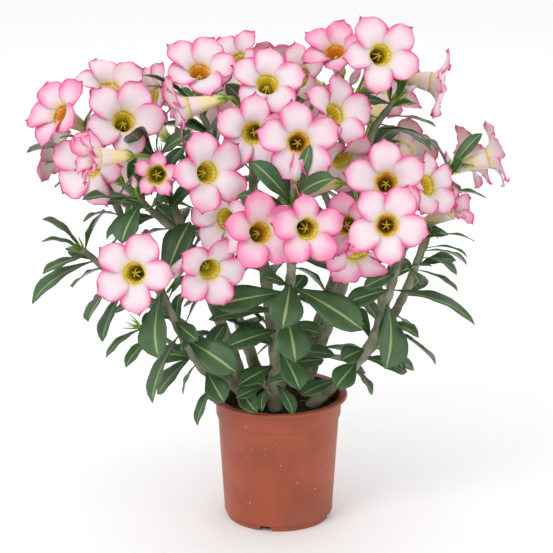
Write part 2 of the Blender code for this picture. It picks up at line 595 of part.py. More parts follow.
def corolla_point(around, along, spread, closed):
    """A point of the trumpet: around in turns, along 0 at the foot, 1/2 at the mouth, 1 outside."""
    angle = math.tau * around
    lobe = 0.5 + 0.5 * math.cos(5 * angle)
    if along < 0.1:
        radius, height = 0.0, -TUBE_LENGTH
    elif along < 0.9:
        radius, height = MOUTH_RADIUS, -0.002
    else:
        reach = (spread / 2 - MOUTH_RADIUS) * (0.34 + 0.66 * lobe)
        radius = MOUTH_RADIUS + reach * math.cos(math.radians(75 * closed))
        height = reach * math.sin(math.radians(10 + 65 * closed))
    return Vector((radius * math.cos(angle), radius * math.sin(angle), height))


def make_corolla(name, frame, spread, closed, material, collection):
    """An open trumpet with five lobes, given its thickness inwards."""
    bm = bmesh.new()
    bmesh.ops.create_grid(bm, x_segments=10, y_segments=2, size=1.0)
    for vertex in bm.verts:
        around = (vertex.co.x + 1.0) / 2.0
        along = (vertex.co.y + 1.0) / 2.0
        vertex.co = corolla_point(around, along, spread, closed)
    bmesh.ops.remove_doubles(bm, verts=bm.verts, dist=0.00002)
    bmesh.ops.recalc_face_normals(bm, faces=bm.faces)
    bm.transform(frame)
    obj = mesh_object(name, bm, material, collection)
    wall = obj.modifiers.new("Wall", "SOLIDIFY")
    wall.thickness = PETAL_THICKNESS
    wall.offset = 0.0
    wall.use_even_offset = False
    apply_modifiers(obj)
    return obj


def stalk_path(root, root_direction, foot, foot_direction):
    """Four points of a smooth stalk from a twig to a flower's foot."""
    reach = (foot - root).length / 3
    first = root + root_direction * reach
    second = foot + foot_direction * reach
    path = []
    for index in range(4):
        t = index / 3
        path.append(root * (1 - t) ** 3 + first * 3 * t * (1 - t) ** 2
                    + second * 3 * t * t * (1 - t) + foot * t ** 3)
    return path


def make_flower(name, row, slide, root, root_direction, material, collection):
    mouth, turn, lift, roll, spread, closed = row
    frame = flower_matrix(Vector(mouth), turn, lift, roll)
    axis = frame.to_3x3() @ Vector((0.0, 0.0, 1.0))
    frame = Matrix.Translation(axis * slide) @ frame
    corolla = make_corolla(name, frame, spread, closed, material, collection)
    foot = frame @ Vector((0.0, 0.0, -TUBE_LENGTH + 0.006))
    stalk = make_tube(name + "_stalk", stalk_path(root, root_direction, foot, -axis),
                      STALK_RADIUS, STALK_RADIUS, material, collection, sides=0)
    union(corolla, [stalk])
    return corolla


# ---------------------------------------------------------------- assembly without overlaps

class Neighbours:
    """The solids placed so far, to test a new one against."""

    def __init__(self):
        self.trees = {}

    def add(self, key, obj):
        self.trees[key] = self.tree(obj)

    @staticmethod
    def tree(obj):
        mesh = obj.evaluated_get(bpy.context.evaluated_depsgraph_get()).to_mesh()
        places = [obj.matrix_world @ vertex.co for vertex in mesh.vertices]
        faces = [tuple(face.vertices) for face in mesh.polygons]
        return BVHTree.FromPolygons(places, faces, epsilon=0.0)

    def touched(self, obj, but=()):
        tree = self.tree(obj)
        return [key for key, other in self.trees.items() if key not in but and tree.overlap(other)]


def main():
    start_scene()
    parts = make_collection("potted_desert_rose")
    cutters = make_collection("cutters")
    plastic = make_material("pot_plastic", (0.35, 0.06, 0.02), 0.45)
    earth = make_material("soil", (0.03, 0.015, 0.008), 0.95)
    green = make_material("leafy_branch", (0.03, 0.12, 0.02), 0.35)
    petal = make_material("petal", (0.9, 0.45, 0.6), 0.55)
    make_all(parts, cutters, plastic, earth, green, petal)


def make_all(parts, cutters, plastic, earth, green, petal):
    neighbours = Neighbours()
    paths = {name: smooth_path(points) for name, (branch, points, low, high) in TWIGS.items()}
    neighbours.add("pot", make_pot(plastic, parts, cutters))
    neighbours.add("soil", make_soil(earth, parts, cutters))
    wood = {}
    for name, (branch, points, low, high) in TWIGS.items():
        twig = make_tube(name, paths[name], low, high, green, parts)
        neighbours.add(name, twig)
        wood.setdefault(branch, []).append(twig)

    stalks_on = {name: 0 for name in TWIGS}
    for number, row in enumerate(FLOWERS, start=1):
        place_flower("flower_%02d" % number, row, paths, stalks_on, neighbours, petal, parts)

    buds = {branch: make_buds(branch, paths, neighbours, green, parts) for branch in wood}
    leaves = make_leaves(paths, neighbours, green, parts)
    for branch, twigs in wood.items():
        extras = twigs[1:] + leaves[branch] + buds[branch]
        twigs[0].name = branch
        twigs[0].data.name = branch
        union(twigs[0], extras)


def nearest_twig(place, paths):
    return min(paths, key=lambda name: (paths[name][-1] - place).length)


def stalk_root(path, tip_radius, foot, step):
    """Where a stalk leaves its twig, some steps back from the tip, and its direction there."""
    along = (path[-1] - path[-2]).normalized()
    origin = path[-1] - along * STALK_SPACING * (step + 0.3)
    direction = foot - origin
    direction = (direction - along * direction.dot(along)).normalized()
    clear = tip_radius * 1.25 + STALK_RADIUS + GAP
    return origin + direction * clear, (direction + along * 0.5).normalized()


def place_flower(name, row, paths, stalks_on, neighbours, material, collection):
    frame = flower_matrix(Vector(row[0]), *row[1:4])
    foot = frame @ Vector((0.0, 0.0, -TUBE_LENGTH))
    twig = nearest_twig(foot, paths)
    first_step = stalks_on[twig]
    stalks_on[twig] += 1
    for step in (first_step, first_step + 1, first_step + 2):
        root, direction = stalk_root(paths[twig], TWIGS[twig][3], foot, step)
        for slide in FLOWER_SLIDES:
            flower = make_flower(name, row, slide, root, direction, material, collection)
            touched = neighbours.touched(flower)
            if not touched:
                neighbours.add(name, flower)
                return
            bpy.data.objects.remove(flower)
    print("NO PLACE FOR", name, "on", twig, "touching", touched)


def make_leaves(paths, neighbours, material, collection):
    """Every leaf that finds a free place, listed by branch."""
    leaves = {branch: [] for branch, points, low, high in TWIGS.values()}
    rows = []
    for twig, height, tip, width in LEAVES:
        base, direction = point_at_height(paths[twig], height)
        rows.append((twig, base, Vector(tip), direction, width))
    for twig in SPIRALS:
        for base, tip, direction, width in spiral_leaves(twig, paths[twig]):
            rows.append((twig, base, tip, direction, width))
    for index, (twig, base, tip, direction, width) in enumerate(rows):
        branch = TWIGS[twig][0]
        name = "leaf_%03d" % index
        for free_tip in leaf_tips(base, tip, direction):
            leaf = make_leaf(name, base, free_tip, width, material, collection)
            if not neighbours.touched(leaf, but=(twig,)):
                neighbours.add(name, leaf)
                leaves[branch].append(leaf)
                break
            bpy.data.objects.remove(leaf)
    return leaves


def make_buds(branch, paths, neighbours, material, collection):
    buds = []
    for index, (twig, foot, tip, radius) in enumerate(BUDS):
        if TWIGS[twig][0] != branch:
            continue
        foot, tip = Vector(foot), Vector(tip)
        name = "bud_%02d" % index
        bud = make_bud(name, foot, tip, radius, material, collection)
        root = paths[twig][-1] * 0.8 + paths[twig][-2] * 0.2
        direction = (paths[twig][-1] - paths[twig][-2]).normalized()
        end = foot + (tip - foot) * 0.15
        stalk = make_tube(name + "_stalk", stalk_path(root, direction, end, (foot - tip).normalized()),
                          STALK_RADIUS, STALK_RADIUS, material, collection, sides=0)
        touched = set(neighbours.touched(bud) + neighbours.touched(stalk, but=(twig,)))
        if touched:
            print("NO PLACE FOR", name, touched)
            bpy.data.objects.remove(bud)
            bpy.data.objects.remove(stalk)
            continue
        neighbours.add(name, bud)
        buds += [bud, stalk]
    return buds


main()
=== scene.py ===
"""Looks of a potted desert rose: glossy leaves, pink-edged trumpet flowers and a dusty plastic pot.

Each part has an operator and its sizes and colours in a property group.  The plan of twigs,
leaves and flowers is the one that the solid model was built to, in metres.  A leaf or flower
is drawn in the place where the solid model has it.
"""
import math
import random

import bmesh
import bpy
from mathutils import Matrix, Vector, kdtree


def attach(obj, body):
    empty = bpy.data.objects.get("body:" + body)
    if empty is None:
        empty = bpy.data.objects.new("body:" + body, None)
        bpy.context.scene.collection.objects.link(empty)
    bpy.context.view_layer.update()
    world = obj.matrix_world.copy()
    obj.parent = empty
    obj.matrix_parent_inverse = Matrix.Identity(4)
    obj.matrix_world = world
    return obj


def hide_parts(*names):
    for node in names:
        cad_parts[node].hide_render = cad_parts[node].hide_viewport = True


bl_info = {
    "name": "Potted desert rose",
    "version": (1, 0, 0),
    "blender": (4, 5, 0),
    "location": "3D View > Sidebar > Desert rose",
    "description": "Builds the finished surfaces of a desert rose in its pot",
    "category": "Object",
}

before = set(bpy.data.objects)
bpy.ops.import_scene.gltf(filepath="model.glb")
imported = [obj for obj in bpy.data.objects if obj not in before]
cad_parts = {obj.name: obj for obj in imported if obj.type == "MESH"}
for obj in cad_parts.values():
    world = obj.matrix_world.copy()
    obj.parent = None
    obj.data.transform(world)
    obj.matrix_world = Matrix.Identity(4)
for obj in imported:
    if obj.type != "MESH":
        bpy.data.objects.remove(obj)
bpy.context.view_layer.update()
BODY = "root"

# Twigs: name -> (branch, points from the root end to the tip, root radius, tip radius).
TWIGS = {
    "left_front": ("branch_left_front", ((-0.018, -0.014, 0.105), (-0.040, -0.030, 0.145),
                   (-0.071, -0.050, 0.170), (-0.088, -0.062, 0.200), (-0.102, -0.070, 0.232),
                   (-0.113, -0.077, 0.265)), 0.0072, 0.0030),
    "left_front_low": ("branch_left_front", ((-0.064, -0.046, 0.164), (-0.088, -0.040, 0.182),
                       (-0.115, -0.032, 0.200), (-0.138, -0.030, 0.210)), 0.0030, 0.0020),
    "left": ("branch_left", ((-0.029, 0.002, 0.105), (-0.043, -0.006, 0.165),
             (-0.058, -0.020, 0.212), (-0.078, -0.030, 0.267), (-0.098, -0.037, 0.325),
             (-0.117, -0.038, 0.385)), 0.0070, 0.0032),
    "left_rosette": ("branch_left", ((-0.089, -0.034, 0.300), (-0.110, -0.050, 0.322),
                     (-0.134, -0.060, 0.348)), 0.0036, 0.0028),
    "far_left": ("branch_far_left", ((-0.022, 0.018, 0.105), (-0.062, 0.008, 0.165),
                 (-0.110, -0.004, 0.215), (-0.155, -0.018, 0.252), (-0.193, -0.030, 0.290)),
                 0.0066, 0.0030),
    "upper_left": ("branch_far_left", ((-0.105, -0.003, 0.211), (-0.138, 0.012, 0.270),
                   (-0.165, 0.006, 0.335), (-0.186, -0.012, 0.392)), 0.0046, 0.0030),
    "front": ("branch_front", ((-0.002, -0.026, 0.105), (-0.004, -0.036, 0.150),
              (-0.001, -0.046, 0.190), (0.004, -0.057, 0.225), (0.011, -0.069, 0.266),
              (0.013, -0.078, 0.310), (0.014, -0.086, 0.352)), 0.0078, 0.0036),
    "front_low": ("branch_front", ((-0.004, -0.032, 0.134), (-0.010, -0.044, 0.147),
                  (-0.016, -0.052, 0.158)), 0.0026, 0.0018),
    "centre": ("branch_centre", ((0.002, 0.002, 0.105), (-0.003, 0.006, 0.170),
               (-0.013, 0.006, 0.250), (-0.024, 0.002, 0.330), (-0.024, -0.006, 0.385),
               (-0.018, -0.012, 0.418)), 0.0080, 0.0034),
    "centre_left": ("branch_centre", ((-0.020, 0.003, 0.305), (-0.044, 0.010, 0.350),
                    (-0.066, 0.010, 0.395), (-0.080, 0.008, 0.428)), 0.0042, 0.0030),
    "centre_right": ("branch_centre", ((-0.019, 0.004, 0.298), (0.008, 0.002, 0.340),
                     (0.024, -0.006, 0.375), (0.030, -0.010, 0.400)), 0.0040, 0.0030),
    "upper_right": ("branch_upper_right", ((0.020, 0.018, 0.105), (0.038, 0.024, 0.160),
                    (0.062, 0.028, 0.225), (0.080, 0.028, 0.290), (0.086, 0.020, 0.350),
                    (0.092, 0.016, 0.395), (0.114, 0.014, 0.428)), 0.0070, 0.0034),
    "top": ("branch_upper_right", ((0.081, 0.028, 0.300), (0.066, 0.026, 0.350),
            (0.062, 0.020, 0.395), (0.066, 0.014, 0.430)), 0.0042, 0.0032),
    "right_front": ("branch_right_front", ((0.020, -0.014, 0.105), (0.045, -0.022, 0.137),
                    (0.074, -0.032, 0.169), (0.092, -0.044, 0.200), (0.105, -0.056, 0.245),
                    (0.120, -0.062, 0.298)), 0.0070, 0.0034),
    "right_inner": ("branch_right_front", ((0.101, -0.052, 0.230), (0.096, -0.060, 0.275),
                    (0.094, -0.062, 0.320)), 0.0040, 0.0030),
    "right": ("branch_right", ((0.031, 0.002, 0.105), (0.062, 0.006, 0.143),
              (0.094, -0.002, 0.180), (0.120, -0.010, 0.226), (0.136, -0.016, 0.270),
              (0.145, -0.020, 0.303)), 0.0068, 0.0032),
    "far_right": ("branch_right", ((0.128, -0.013, 0.248), (0.146, -0.004, 0.290),
                  (0.158, -0.004, 0.330), (0.166, -0.008, 0.362)), 0.0036, 0.0028),
    "back_left": ("branch_back_left", ((-0.010, 0.030, 0.105), (-0.034, 0.050, 0.170),
                  (-0.062, 0.078, 0.240), (-0.084, 0.098, 0.310), (-0.095, 0.102, 0.372)),
                  0.0070, 0.0032),
    "back_far_left": ("branch_back_left", ((-0.052, 0.068, 0.215), (-0.092, 0.080, 0.262),
                      (-0.132, 0.082, 0.300), (-0.160, 0.074, 0.330)), 0.0042, 0.0030),
    "back_top_left": ("branch_back_left", ((-0.070, 0.086, 0.265), (-0.052, 0.104, 0.325),
                      (-0.038, 0.110, 0.378)), 0.0040, 0.0030),
    "back_right": ("branch_back_right", ((0.012, 0.032, 0.105), (0.036, 0.056, 0.170),
                   (0.062, 0.084, 0.240), (0.082, 0.100, 0.305), (0.090, 0.104, 0.362)),
                   0.0070, 0.0032),
    "back_far_right": ("branch_back_right", ((0.054, 0.075, 0.218), (0.094, 0.080, 0.262),
                       (0.130, 0.078, 0.300), (0.158, 0.066, 0.330)), 0.0042, 0.0030),
    "back_top_right": ("branch_back_right", ((0.068, 0.089, 0.260), (0.044, 0.108, 0.322),
                       (0.026, 0.112, 0.380)), 0.0040, 0.0030),
}

# Flowers: (mouth centre, turn to the right of the front, lift above level, roll of the first
# petal, spread across the petals, how far the petals stay closed from 0 to 1), degrees.
FLOWERS = (
    ((0.097, -0.014, 0.478), 10, 15, 105, 0.080, 0.15),
    ((0.054, 0.000, 0.480), -15, 48, 70, 0.070, 0.35),
    ((0.024, 0.034, 0.446), -40, 25, 100, 0.072, 0.25),
    ((0.148, 0.016, 0.446), 80, -8, 80, 0.070, 0.25),
    ((0.052, -0.034, 0.424), 38, 28, 60, 0.078, 0.20),
    ((0.018, -0.068, 0.404), 5, 15, 85, 0.080, 0.10),
    ((-0.024, -0.066, 0.413), -5, 10, 80, 0.074, 0.10),
    ((-0.011, -0.032, 0.452), 5, 35, 75, 0.076, 0.20),
    ((-0.076, -0.014, 0.460), 5, 46, 60, 0.080, 0.30),
    ((-0.040, 0.034, 0.462), -40, 40, 60, 0.066, 0.30),
    ((-0.082, -0.052, 0.436), -78, -12, 60, 0.074, 0.25),
    ((-0.118, 0.030, 0.430), -60, 20, 60, 0.066, 0.25),
    ((-0.206, -0.036, 0.424), -45, 32, 50, 0.078, 0.25),
    ((-0.166, 0.022, 0.436), 15, 58, 90, 0.074, 0.25),
    ((-0.148, -0.040, 0.418), 10, 28, 55, 0.080, 0.15),
    ((-0.168, -0.102, 0.398), -60, 4, 60, 0.058, 0.60),
    ((-0.178, -0.050, 0.378), -25, -5, 70, 0.082, 0.20),
    ((-0.212, 0.022, 0.376), -110, 5, 80, 0.070, 0.25),
    ((-0.114, -0.092, 0.379), 0, 12, 75, 0.046, 0.50),
    ((-0.068, -0.088, 0.380), 28, 14, 95, 0.082, 0.15),
    ((-0.136, -0.102, 0.286), -5, 16, 60, 0.080, 0.10),
    ((-0.066, -0.094, 0.288), 20, -2, 60, 0.074, 0.20),
    ((-0.018, -0.118, 0.330), 18, 20, 85, 0.078, 0.20),
    ((0.026, -0.126, 0.336), 10, 10, 85, 0.070, 0.20),
    ((-0.054, -0.086, 0.334), -35, 8, 90, 0.072, 0.20),
    ((0.063, -0.106, 0.334), -12, 16, 95, 0.068, 0.35),
    ((0.074, -0.092, 0.304), 12, -38, 90, 0.072, 0.25),
    ((0.101, -0.094, 0.372), 0, 20, 90, 0.080, 0.10),
    ((0.100, -0.114, 0.336), 0, 16, 50, 0.078, 0.15),
    ((0.140, -0.058, 0.360), 45, 20, 75, 0.066, 0.20),
    ((0.203, -0.004, 0.374), 96, 14, 60, 0.070, 0.20),
    ((0.166, -0.034, 0.330), 66, 32, 60, 0.054, 0.70),
    ((0.060, -0.036, 0.382), 24, -22, 60, 0.072, 0.25),
    ((0.042, -0.064, 0.362), -78, -4, 60, 0.070, 0.25),
    ((-0.090, 0.140, 0.402), 172, 20, 90, 0.078, 0.15),
    ((-0.132, 0.112, 0.388), 218, 26, 60, 0.074, 0.20),
    ((-0.040, 0.146, 0.408), 180, 22, 75, 0.078, 0.15),
    ((0.012, 0.138, 0.414), 190, 28, 50, 0.076, 0.20),
    ((0.060, 0.140, 0.384), 176, 10, 80, 0.078, 0.10),
    ((0.104, 0.122, 0.398), 150, 34, 60, 0.074, 0.20),
    ((0.130, 0.110, 0.354), 140, 10, 90, 0.076, 0.15),
    ((0.190, 0.082, 0.350), 112, 20, 60, 0.076, 0.15),
    ((-0.194, 0.088, 0.346), 246, 20, 80, 0.076, 0.15),
    ((-0.148, 0.128, 0.318), 205, 4, 50, 0.074, 0.20),
    ((-0.010, 0.070, 0.446), 190, 46, 60, 0.078, 0.15),
    ((0.100, 0.056, 0.450), 150, 34, 75, 0.076, 0.20),
)

# Leaves that give the plant its outline: (twig, height of the leaf base, leaf tip, width).
LEAVES = (
    ("left_front", 0.260, (-0.114, -0.108, 0.205), 0.031),
    ("left_front", 0.215, (-0.122, -0.092, 0.155), 0.024),
    ("left_front", 0.190, (-0.118, -0.058, 0.150), 0.020),
    ("left_front", 0.208, (-0.043, -0.092, 0.185), 0.026),
    ("left_front", 0.172, (-0.053, -0.082, 0.150), 0.019),
    ("left_front", 0.160, (-0.080, -0.058, 0.118), 0.014),
    ("left_front_low", 0.176, (-0.095, -0.030, 0.140), 0.008),
    ("left_front_low", 0.208, (-0.170, -0.034, 0.180), 0.010),
    ("left_front_low", 0.202, (-0.150, -0.046, 0.174), 0.013),
    ("far_left", 0.248, (-0.172, -0.054, 0.204), 0.019),
    ("far_left", 0.254, (-0.184, -0.066, 0.228), 0.022),
    ("left_front", 0.250, (-0.158, -0.080, 0.240), 0.016),
    ("far_left", 0.276, (-0.240, -0.042, 0.240), 0.019),
    ("far_left", 0.288, (-0.228, -0.034, 0.320), 0.023),
    ("far_left", 0.284, (-0.228, -0.038, 0.300), 0.010),
    ("far_left", 0.282, (-0.228, -0.046, 0.270), 0.013),
    ("far_left", 0.286, (-0.168, -0.042, 0.330), 0.023),
    ("far_left", 0.268, (-0.198, -0.066, 0.262), 0.016),
    ("left_front", 0.258, (-0.086, -0.048, 0.320), 0.026),
    ("left_rosette", 0.344, (-0.148, -0.086, 0.312), 0.024),
    ("left_rosette", 0.340, (-0.164, -0.064, 0.310), 0.014),
    ("front", 0.257, (-0.060, -0.088, 0.250), 0.022),
    ("front", 0.236, (-0.066, -0.056, 0.226), 0.018),
    ("left_front", 0.228, (-0.078, -0.096, 0.218), 0.014),
    ("front", 0.214, (-0.048, -0.080, 0.206), 0.019),
    ("front", 0.174, (-0.038, -0.072, 0.164), 0.016),
    ("front_low", 0.156, (0.008, -0.072, 0.170), 0.009),
    ("front_low", 0.154, (-0.040, -0.070, 0.150), 0.011),
    ("front_low", 0.150, (-0.016, -0.084, 0.142), 0.009),
    ("left_front", 0.143, (-0.022, -0.080, 0.139), 0.015),
    ("front", 0.152, (0.014, -0.082, 0.138), 0.012),
    ("front", 0.268, (0.004, -0.108, 0.234), 0.026),
    ("front", 0.234, (0.016, -0.094, 0.196), 0.028),
    ("front", 0.192, (0.020, -0.078, 0.162), 0.023),
    ("front", 0.263, (0.078, -0.098, 0.230), 0.027),
    ("right_front", 0.244, (0.103, -0.094, 0.190), 0.036),
    ("right_front", 0.256, (0.176, -0.064, 0.237), 0.026),
    ("right", 0.236, (0.192, -0.030, 0.214), 0.012),
    ("right", 0.202, (0.154, -0.040, 0.176), 0.024),
    ("right", 0.196, (0.122, -0.036, 0.168), 0.015),
    ("right_front", 0.176, (0.056, -0.068, 0.160), 0.019),
    ("front", 0.188, (0.054, -0.054, 0.188), 0.014),
    ("right_front", 0.152, (0.024, -0.062, 0.150), 0.016),
    ("right_front", 0.272, (0.082, -0.088, 0.268), 0.012),
    ("right_front", 0.256, (0.066, -0.080, 0.250), 0.016),
    ("front", 0.294, (0.064, -0.084, 0.276), 0.019),
    ("far_right", 0.340, (0.200, -0.024, 0.340), 0.010),
    ("right", 0.298, (0.190, -0.030, 0.298), 0.010),
    ("right", 0.284, (0.182, -0.040, 0.286), 0.008),
    ("right", 0.276, (0.172, -0.048, 0.270), 0.012),
    ("right", 0.264, (0.174, -0.038, 0.250), 0.013),
    ("right", 0.254, (0.156, -0.054, 0.242), 0.014),
    ("right_front", 0.286, (0.134, -0.094, 0.272), 0.014),
    ("right", 0.296, (0.160, -0.050, 0.312), 0.013),
    ("right", 0.155, (0.094, -0.010, 0.132), 0.011),
    ("right", 0.150, (0.088, 0.016, 0.146), 0.009),
    ("right_front", 0.190, (0.062, -0.056, 0.184), 0.016),
    ("right_front", 0.240, (0.084, -0.066, 0.214), 0.014),
    ("upper_left", 0.380, (-0.240, -0.036, 0.388), 0.024),
    ("upper_left", 0.368, (-0.226, -0.020, 0.372), 0.007),
    ("upper_left", 0.356, (-0.216, -0.030, 0.352), 0.013),
    ("centre_left", 0.420, (-0.130, 0.010, 0.456), 0.015),
    ("centre_left", 0.416, (-0.126, 0.022, 0.442), 0.008),
    ("centre_left", 0.392, (-0.112, -0.016, 0.410), 0.017),
    ("left", 0.378, (-0.148, -0.082, 0.414), 0.018),
    ("left", 0.380, (-0.084, -0.070, 0.412), 0.018),
    ("left", 0.382, (-0.104, -0.030, 0.428), 0.013),
    ("centre_left", 0.386, (-0.050, -0.036, 0.412), 0.016),
    ("centre", 0.412, (-0.050, -0.010, 0.448), 0.015),
    ("upper_left", 0.388, (-0.196, -0.052, 0.436), 0.012),
    ("upper_left", 0.386, (-0.170, -0.044, 0.440), 0.012),
    ("left_rosette", 0.346, (-0.184, -0.078, 0.352), 0.016),
    ("left_rosette", 0.338, (-0.172, -0.052, 0.336), 0.013),
    ("left", 0.342, (-0.098, -0.068, 0.368), 0.010),
    ("centre", 0.410, (0.024, -0.016, 0.434), 0.017),
    ("upper_right", 0.418, (0.098, 0.024, 0.464), 0.014),
    ("upper_right", 0.424, (0.118, -0.002, 0.462), 0.011),
    ("upper_right", 0.424, (0.072, -0.006, 0.432), 0.013),
    ("upper_right", 0.408, (0.078, -0.012, 0.416), 0.011),
    ("upper_right", 0.412, (0.152, -0.002, 0.406), 0.010),
    ("upper_right", 0.398, (0.146, -0.018, 0.392), 0.014),
    ("upper_right", 0.404, (0.150, 0.018, 0.378), 0.009),
    ("far_right", 0.354, (0.144, -0.030, 0.398), 0.012),
    ("far_right", 0.358, (0.200, -0.020, 0.394), 0.011),
    ("far_right", 0.352, (0.170, -0.044, 0.386), 0.009),
    ("upper_right", 0.362, (0.052, -0.004, 0.384), 0.014),
    ("upper_right", 0.352, (0.092, -0.022, 0.382), 0.014),
    ("front", 0.346, (-0.024, -0.106, 0.394), 0.017),
    ("front", 0.340, (-0.006, -0.056, 0.382), 0.014),
    ("front", 0.348, (0.064, -0.104, 0.382), 0.018),
    ("front", 0.346, (0.020, -0.070, 0.404), 0.010),
    ("front", 0.336, (-0.036, -0.112, 0.364), 0.013),
)

# Leaves that follow the spiral rule of the plant: twig -> (first height, last height, count,
# leaf length).
SPIRALS = {
    "left_front": (0.170, 0.262, 7, 0.050),
    "left": (0.170, 0.380, 10, 0.056),
    "left_rosette": (0.322, 0.346, 5, 0.046),
    "far_left": (0.200, 0.288, 8, 0.052),
    "upper_left": (0.250, 0.388, 10, 0.054),
    "front": (0.170, 0.330, 8, 0.048),
    "centre": (0.170, 0.400, 12, 0.058),
    "centre_left": (0.340, 0.424, 7, 0.050),
    "centre_right": (0.330, 0.398, 6, 0.050),
    "upper_right": (0.170, 0.420, 11, 0.056),
    "top": (0.340, 0.426, 7, 0.050),
    "right_front": (0.180, 0.290, 7, 0.050),
    "right_inner": (0.260, 0.316, 4, 0.046),
    "right": (0.180, 0.300, 8, 0.050),
    "far_right": (0.280, 0.358, 6, 0.048),
    "back_left": (0.150, 0.368, 15, 0.062),
    "back_far_left": (0.240, 0.328, 10, 0.056),
    "back_top_left": (0.300, 0.374, 9, 0.054),
    "back_right": (0.150, 0.358, 15, 0.062),
    "back_far_right": (0.240, 0.328, 10, 0.056),
    "back_top_right": (0.300, 0.376, 9, 0.054),
}

# Buds: (twig, bud foot, bud tip, widest radius).
BUDS = (
    ("front", (0.016, -0.092, 0.372), (0.014, -0.096, 0.404), 0.0062),
    ("top", (0.070, 0.004, 0.446), (0.080, -0.002, 0.466), 0.0052),
    ("top", (0.084, 0.006, 0.442), (0.096, -0.002, 0.458), 0.0052),
    ("left_front", (-0.104, -0.086, 0.276), (-0.086, -0.096, 0.302), 0.0062),
    ("left_rosette", (-0.136, -0.068, 0.360), (-0.138, -0.072, 0.374), 0.0034),
    ("upper_right", (0.124, 0.008, 0.438), (0.136, 0.004, 0.446), 0.0032),
    ("far_right", (0.164, -0.014, 0.372), (0.162, -0.020, 0.386), 0.0034),
)

TUBE_LENGTH = 0.036
MOUTH_RADIUS = 0.0100
STALK_RADIUS = 0.0013
STALK_SPACING = 0.0060
STALK_STEPS = 9
GAP = 0.0003
GOLDEN_ANGLE = math.radians(137.5)
PLAN_STEP = 0.028

# Turns and lifts in degrees that may free a leaf, and slides that may free a flower.
LEAF_TURNS = ((0, 0), (14, 0), (-14, 0), (0, 14), (0, -14), (28, 6), (-28, 6), (0, 28), (42, 0), (-42, 0))
FLOWER_SLIDES = (0.0, 0.003, -0.003, 0.006, -0.006, 0.009, -0.009, 0.013, -0.013, 0.017, -0.017, 0.022)

# A planned leaf tip nearer than this to a corner of the solid is in the solid.
MATCH = 0.0006

# Flower numbers by their tone; the other flowers lie between.
STRONG_PINK = (2, 13, 16, 19, 23, 24, 26, 27, 32)
PALE_PINK = (4, 14, 15, 25, 31)
ORANGE_THROATS = {2: 1.0, 13: 1.0, 9: 0.8, 6: 0.6, 23: 0.6, 28: 0.6, 29: 0.5}

WOOD_STEP = 0.004
LEAF_SKIN = 0.0007
LEAF_STRETCH = 1.03
LEAF_WIDENING = 1.30
LEAF_VECTORS = ("base", "along", "side", "face")
LEAF_NUMBERS = ("length", "width", "arch", "phase")
SMALLEST_HALF_WIDTH = 0.0011

PETALS = 5
PETAL_SKIN = 0.00035
PETAL_FOOT = 0.0066
PETAL_WIDEST = 0.62
PETAL_POINT = 0.0034
FUNNEL_SKIN = 0.0005
FUNNEL_FOOT = 0.0024
FUNNEL_BULGE = 0.0030

# The pot's turned section as (radius, height): up the inside, over the lip, down the outside.
POT_INSIDE = ((0.0, 0.0044), (0.0521, 0.0044), (0.0541, 0.0079), (0.0598, 0.1095), (0.0621, 0.1120),
              (0.0621, 0.1300))
POT_OUTSIDE = ((0.0650, 0.1264), (0.0637, 0.1252), (0.0632, 0.1100), (0.0629, 0.1088),
               (0.0614, 0.1080), (0.0556, 0.0110), (0.0555, 0.0068), (0.0549, 0.0062),
               (0.0537, 0.0056), (0.0527, 0.0), (0.0483, 0.0), (0.0475, 0.0030),
               (0.0195, 0.0030), (0.0180, 0.0), (0.0, 0.0))
LIP_CENTRE = (0.0672, 0.1291)
LIP_WIDTH = 0.0028
LIP_HEIGHT = 0.0024
LIP_STEPS = 8
DRAIN_HOLES = 6
DRAIN_RADIUS = 0.0045
DRAIN_RING = 0.034
DRAIN_TURN = 0.11
FOOT_NOTCHES = 4
FOOT_RING = 0.0535
FIRST_NOTCH = math.radians(-104)
NOTCH_RADII = (0.0108, 0.0075)
NOTCH_DEPTH = 0.0112
SOIL_RADIUS = 0.0592
WELD = 0.00001

# Lamps: (name, place, size, watts).
LAMPS = (("key", (-1.3, -1.6, 2.0), 1.1, 20.0), ("fill", (1.8, -1.2, 1.2), 1.4, 4.0),
         ("rear", (0.4, 1.8, 1.8), 1.6, 6.0))
CAMERA_TILT = math.radians(16.5)
CAMERA_DISTANCE = 2.0
CAMERA_TARGET = (-0.002, 0.2526)


# ---------------------------------------------------------------- the plan

def smooth_path(points, step):
    """Points about a step apart on a smooth curve through the given points."""
    given = [Vector(point) for point in points]
    ends = [given[0] * 2 - given[1]] + given + [given[-1] * 2 - given[-2]]
    path = []
    for index in range(len(given) - 1):
        before, start, end, after = ends[index:index + 4]
        count = max(1, round((end - start).length / step))
        for k in range(count):
            t = k / count
            path.append(0.5 * (2 * start + (end - before) * t
                               + (2 * before - 5 * start + 4 * end - after) * t * t
                               + (3 * start - before - 3 * end + after) * t ** 3))
    path.append(given[-1])
    return path


PATHS = {name: smooth_path(row[1], PLAN_STEP) for name, row in TWIGS.items()}


def point_at_height(path, height):
    """The place on a rising path at a height, and the path's direction there."""
    for low, high in zip(path, path[1:]):
        if low.z <= height <= high.z:
            t = (height - low.z) / max(high.z - low.z, 1e-6)
            return low.lerp(high, t), (high - low).normalized()
    return path[-1].copy(), (path[-1] - path[-2]).normalized()


def leaf_frame(base, tip):
    """The leaf's length, side and upper-face directions."""
    along = (tip - base).normalized()
    outward = Vector((base.x, base.y, 0.0)).normalized() + Vector((tip.x - base.x, tip.y - base.y, 0.0)) * 4
    face = Vector((0.0, 0.0, 0.8)) + outward.normalized() * 0.6
    face = (face - along * face.dot(along)).normalized()
    return along, face.cross(along).normalized(), face


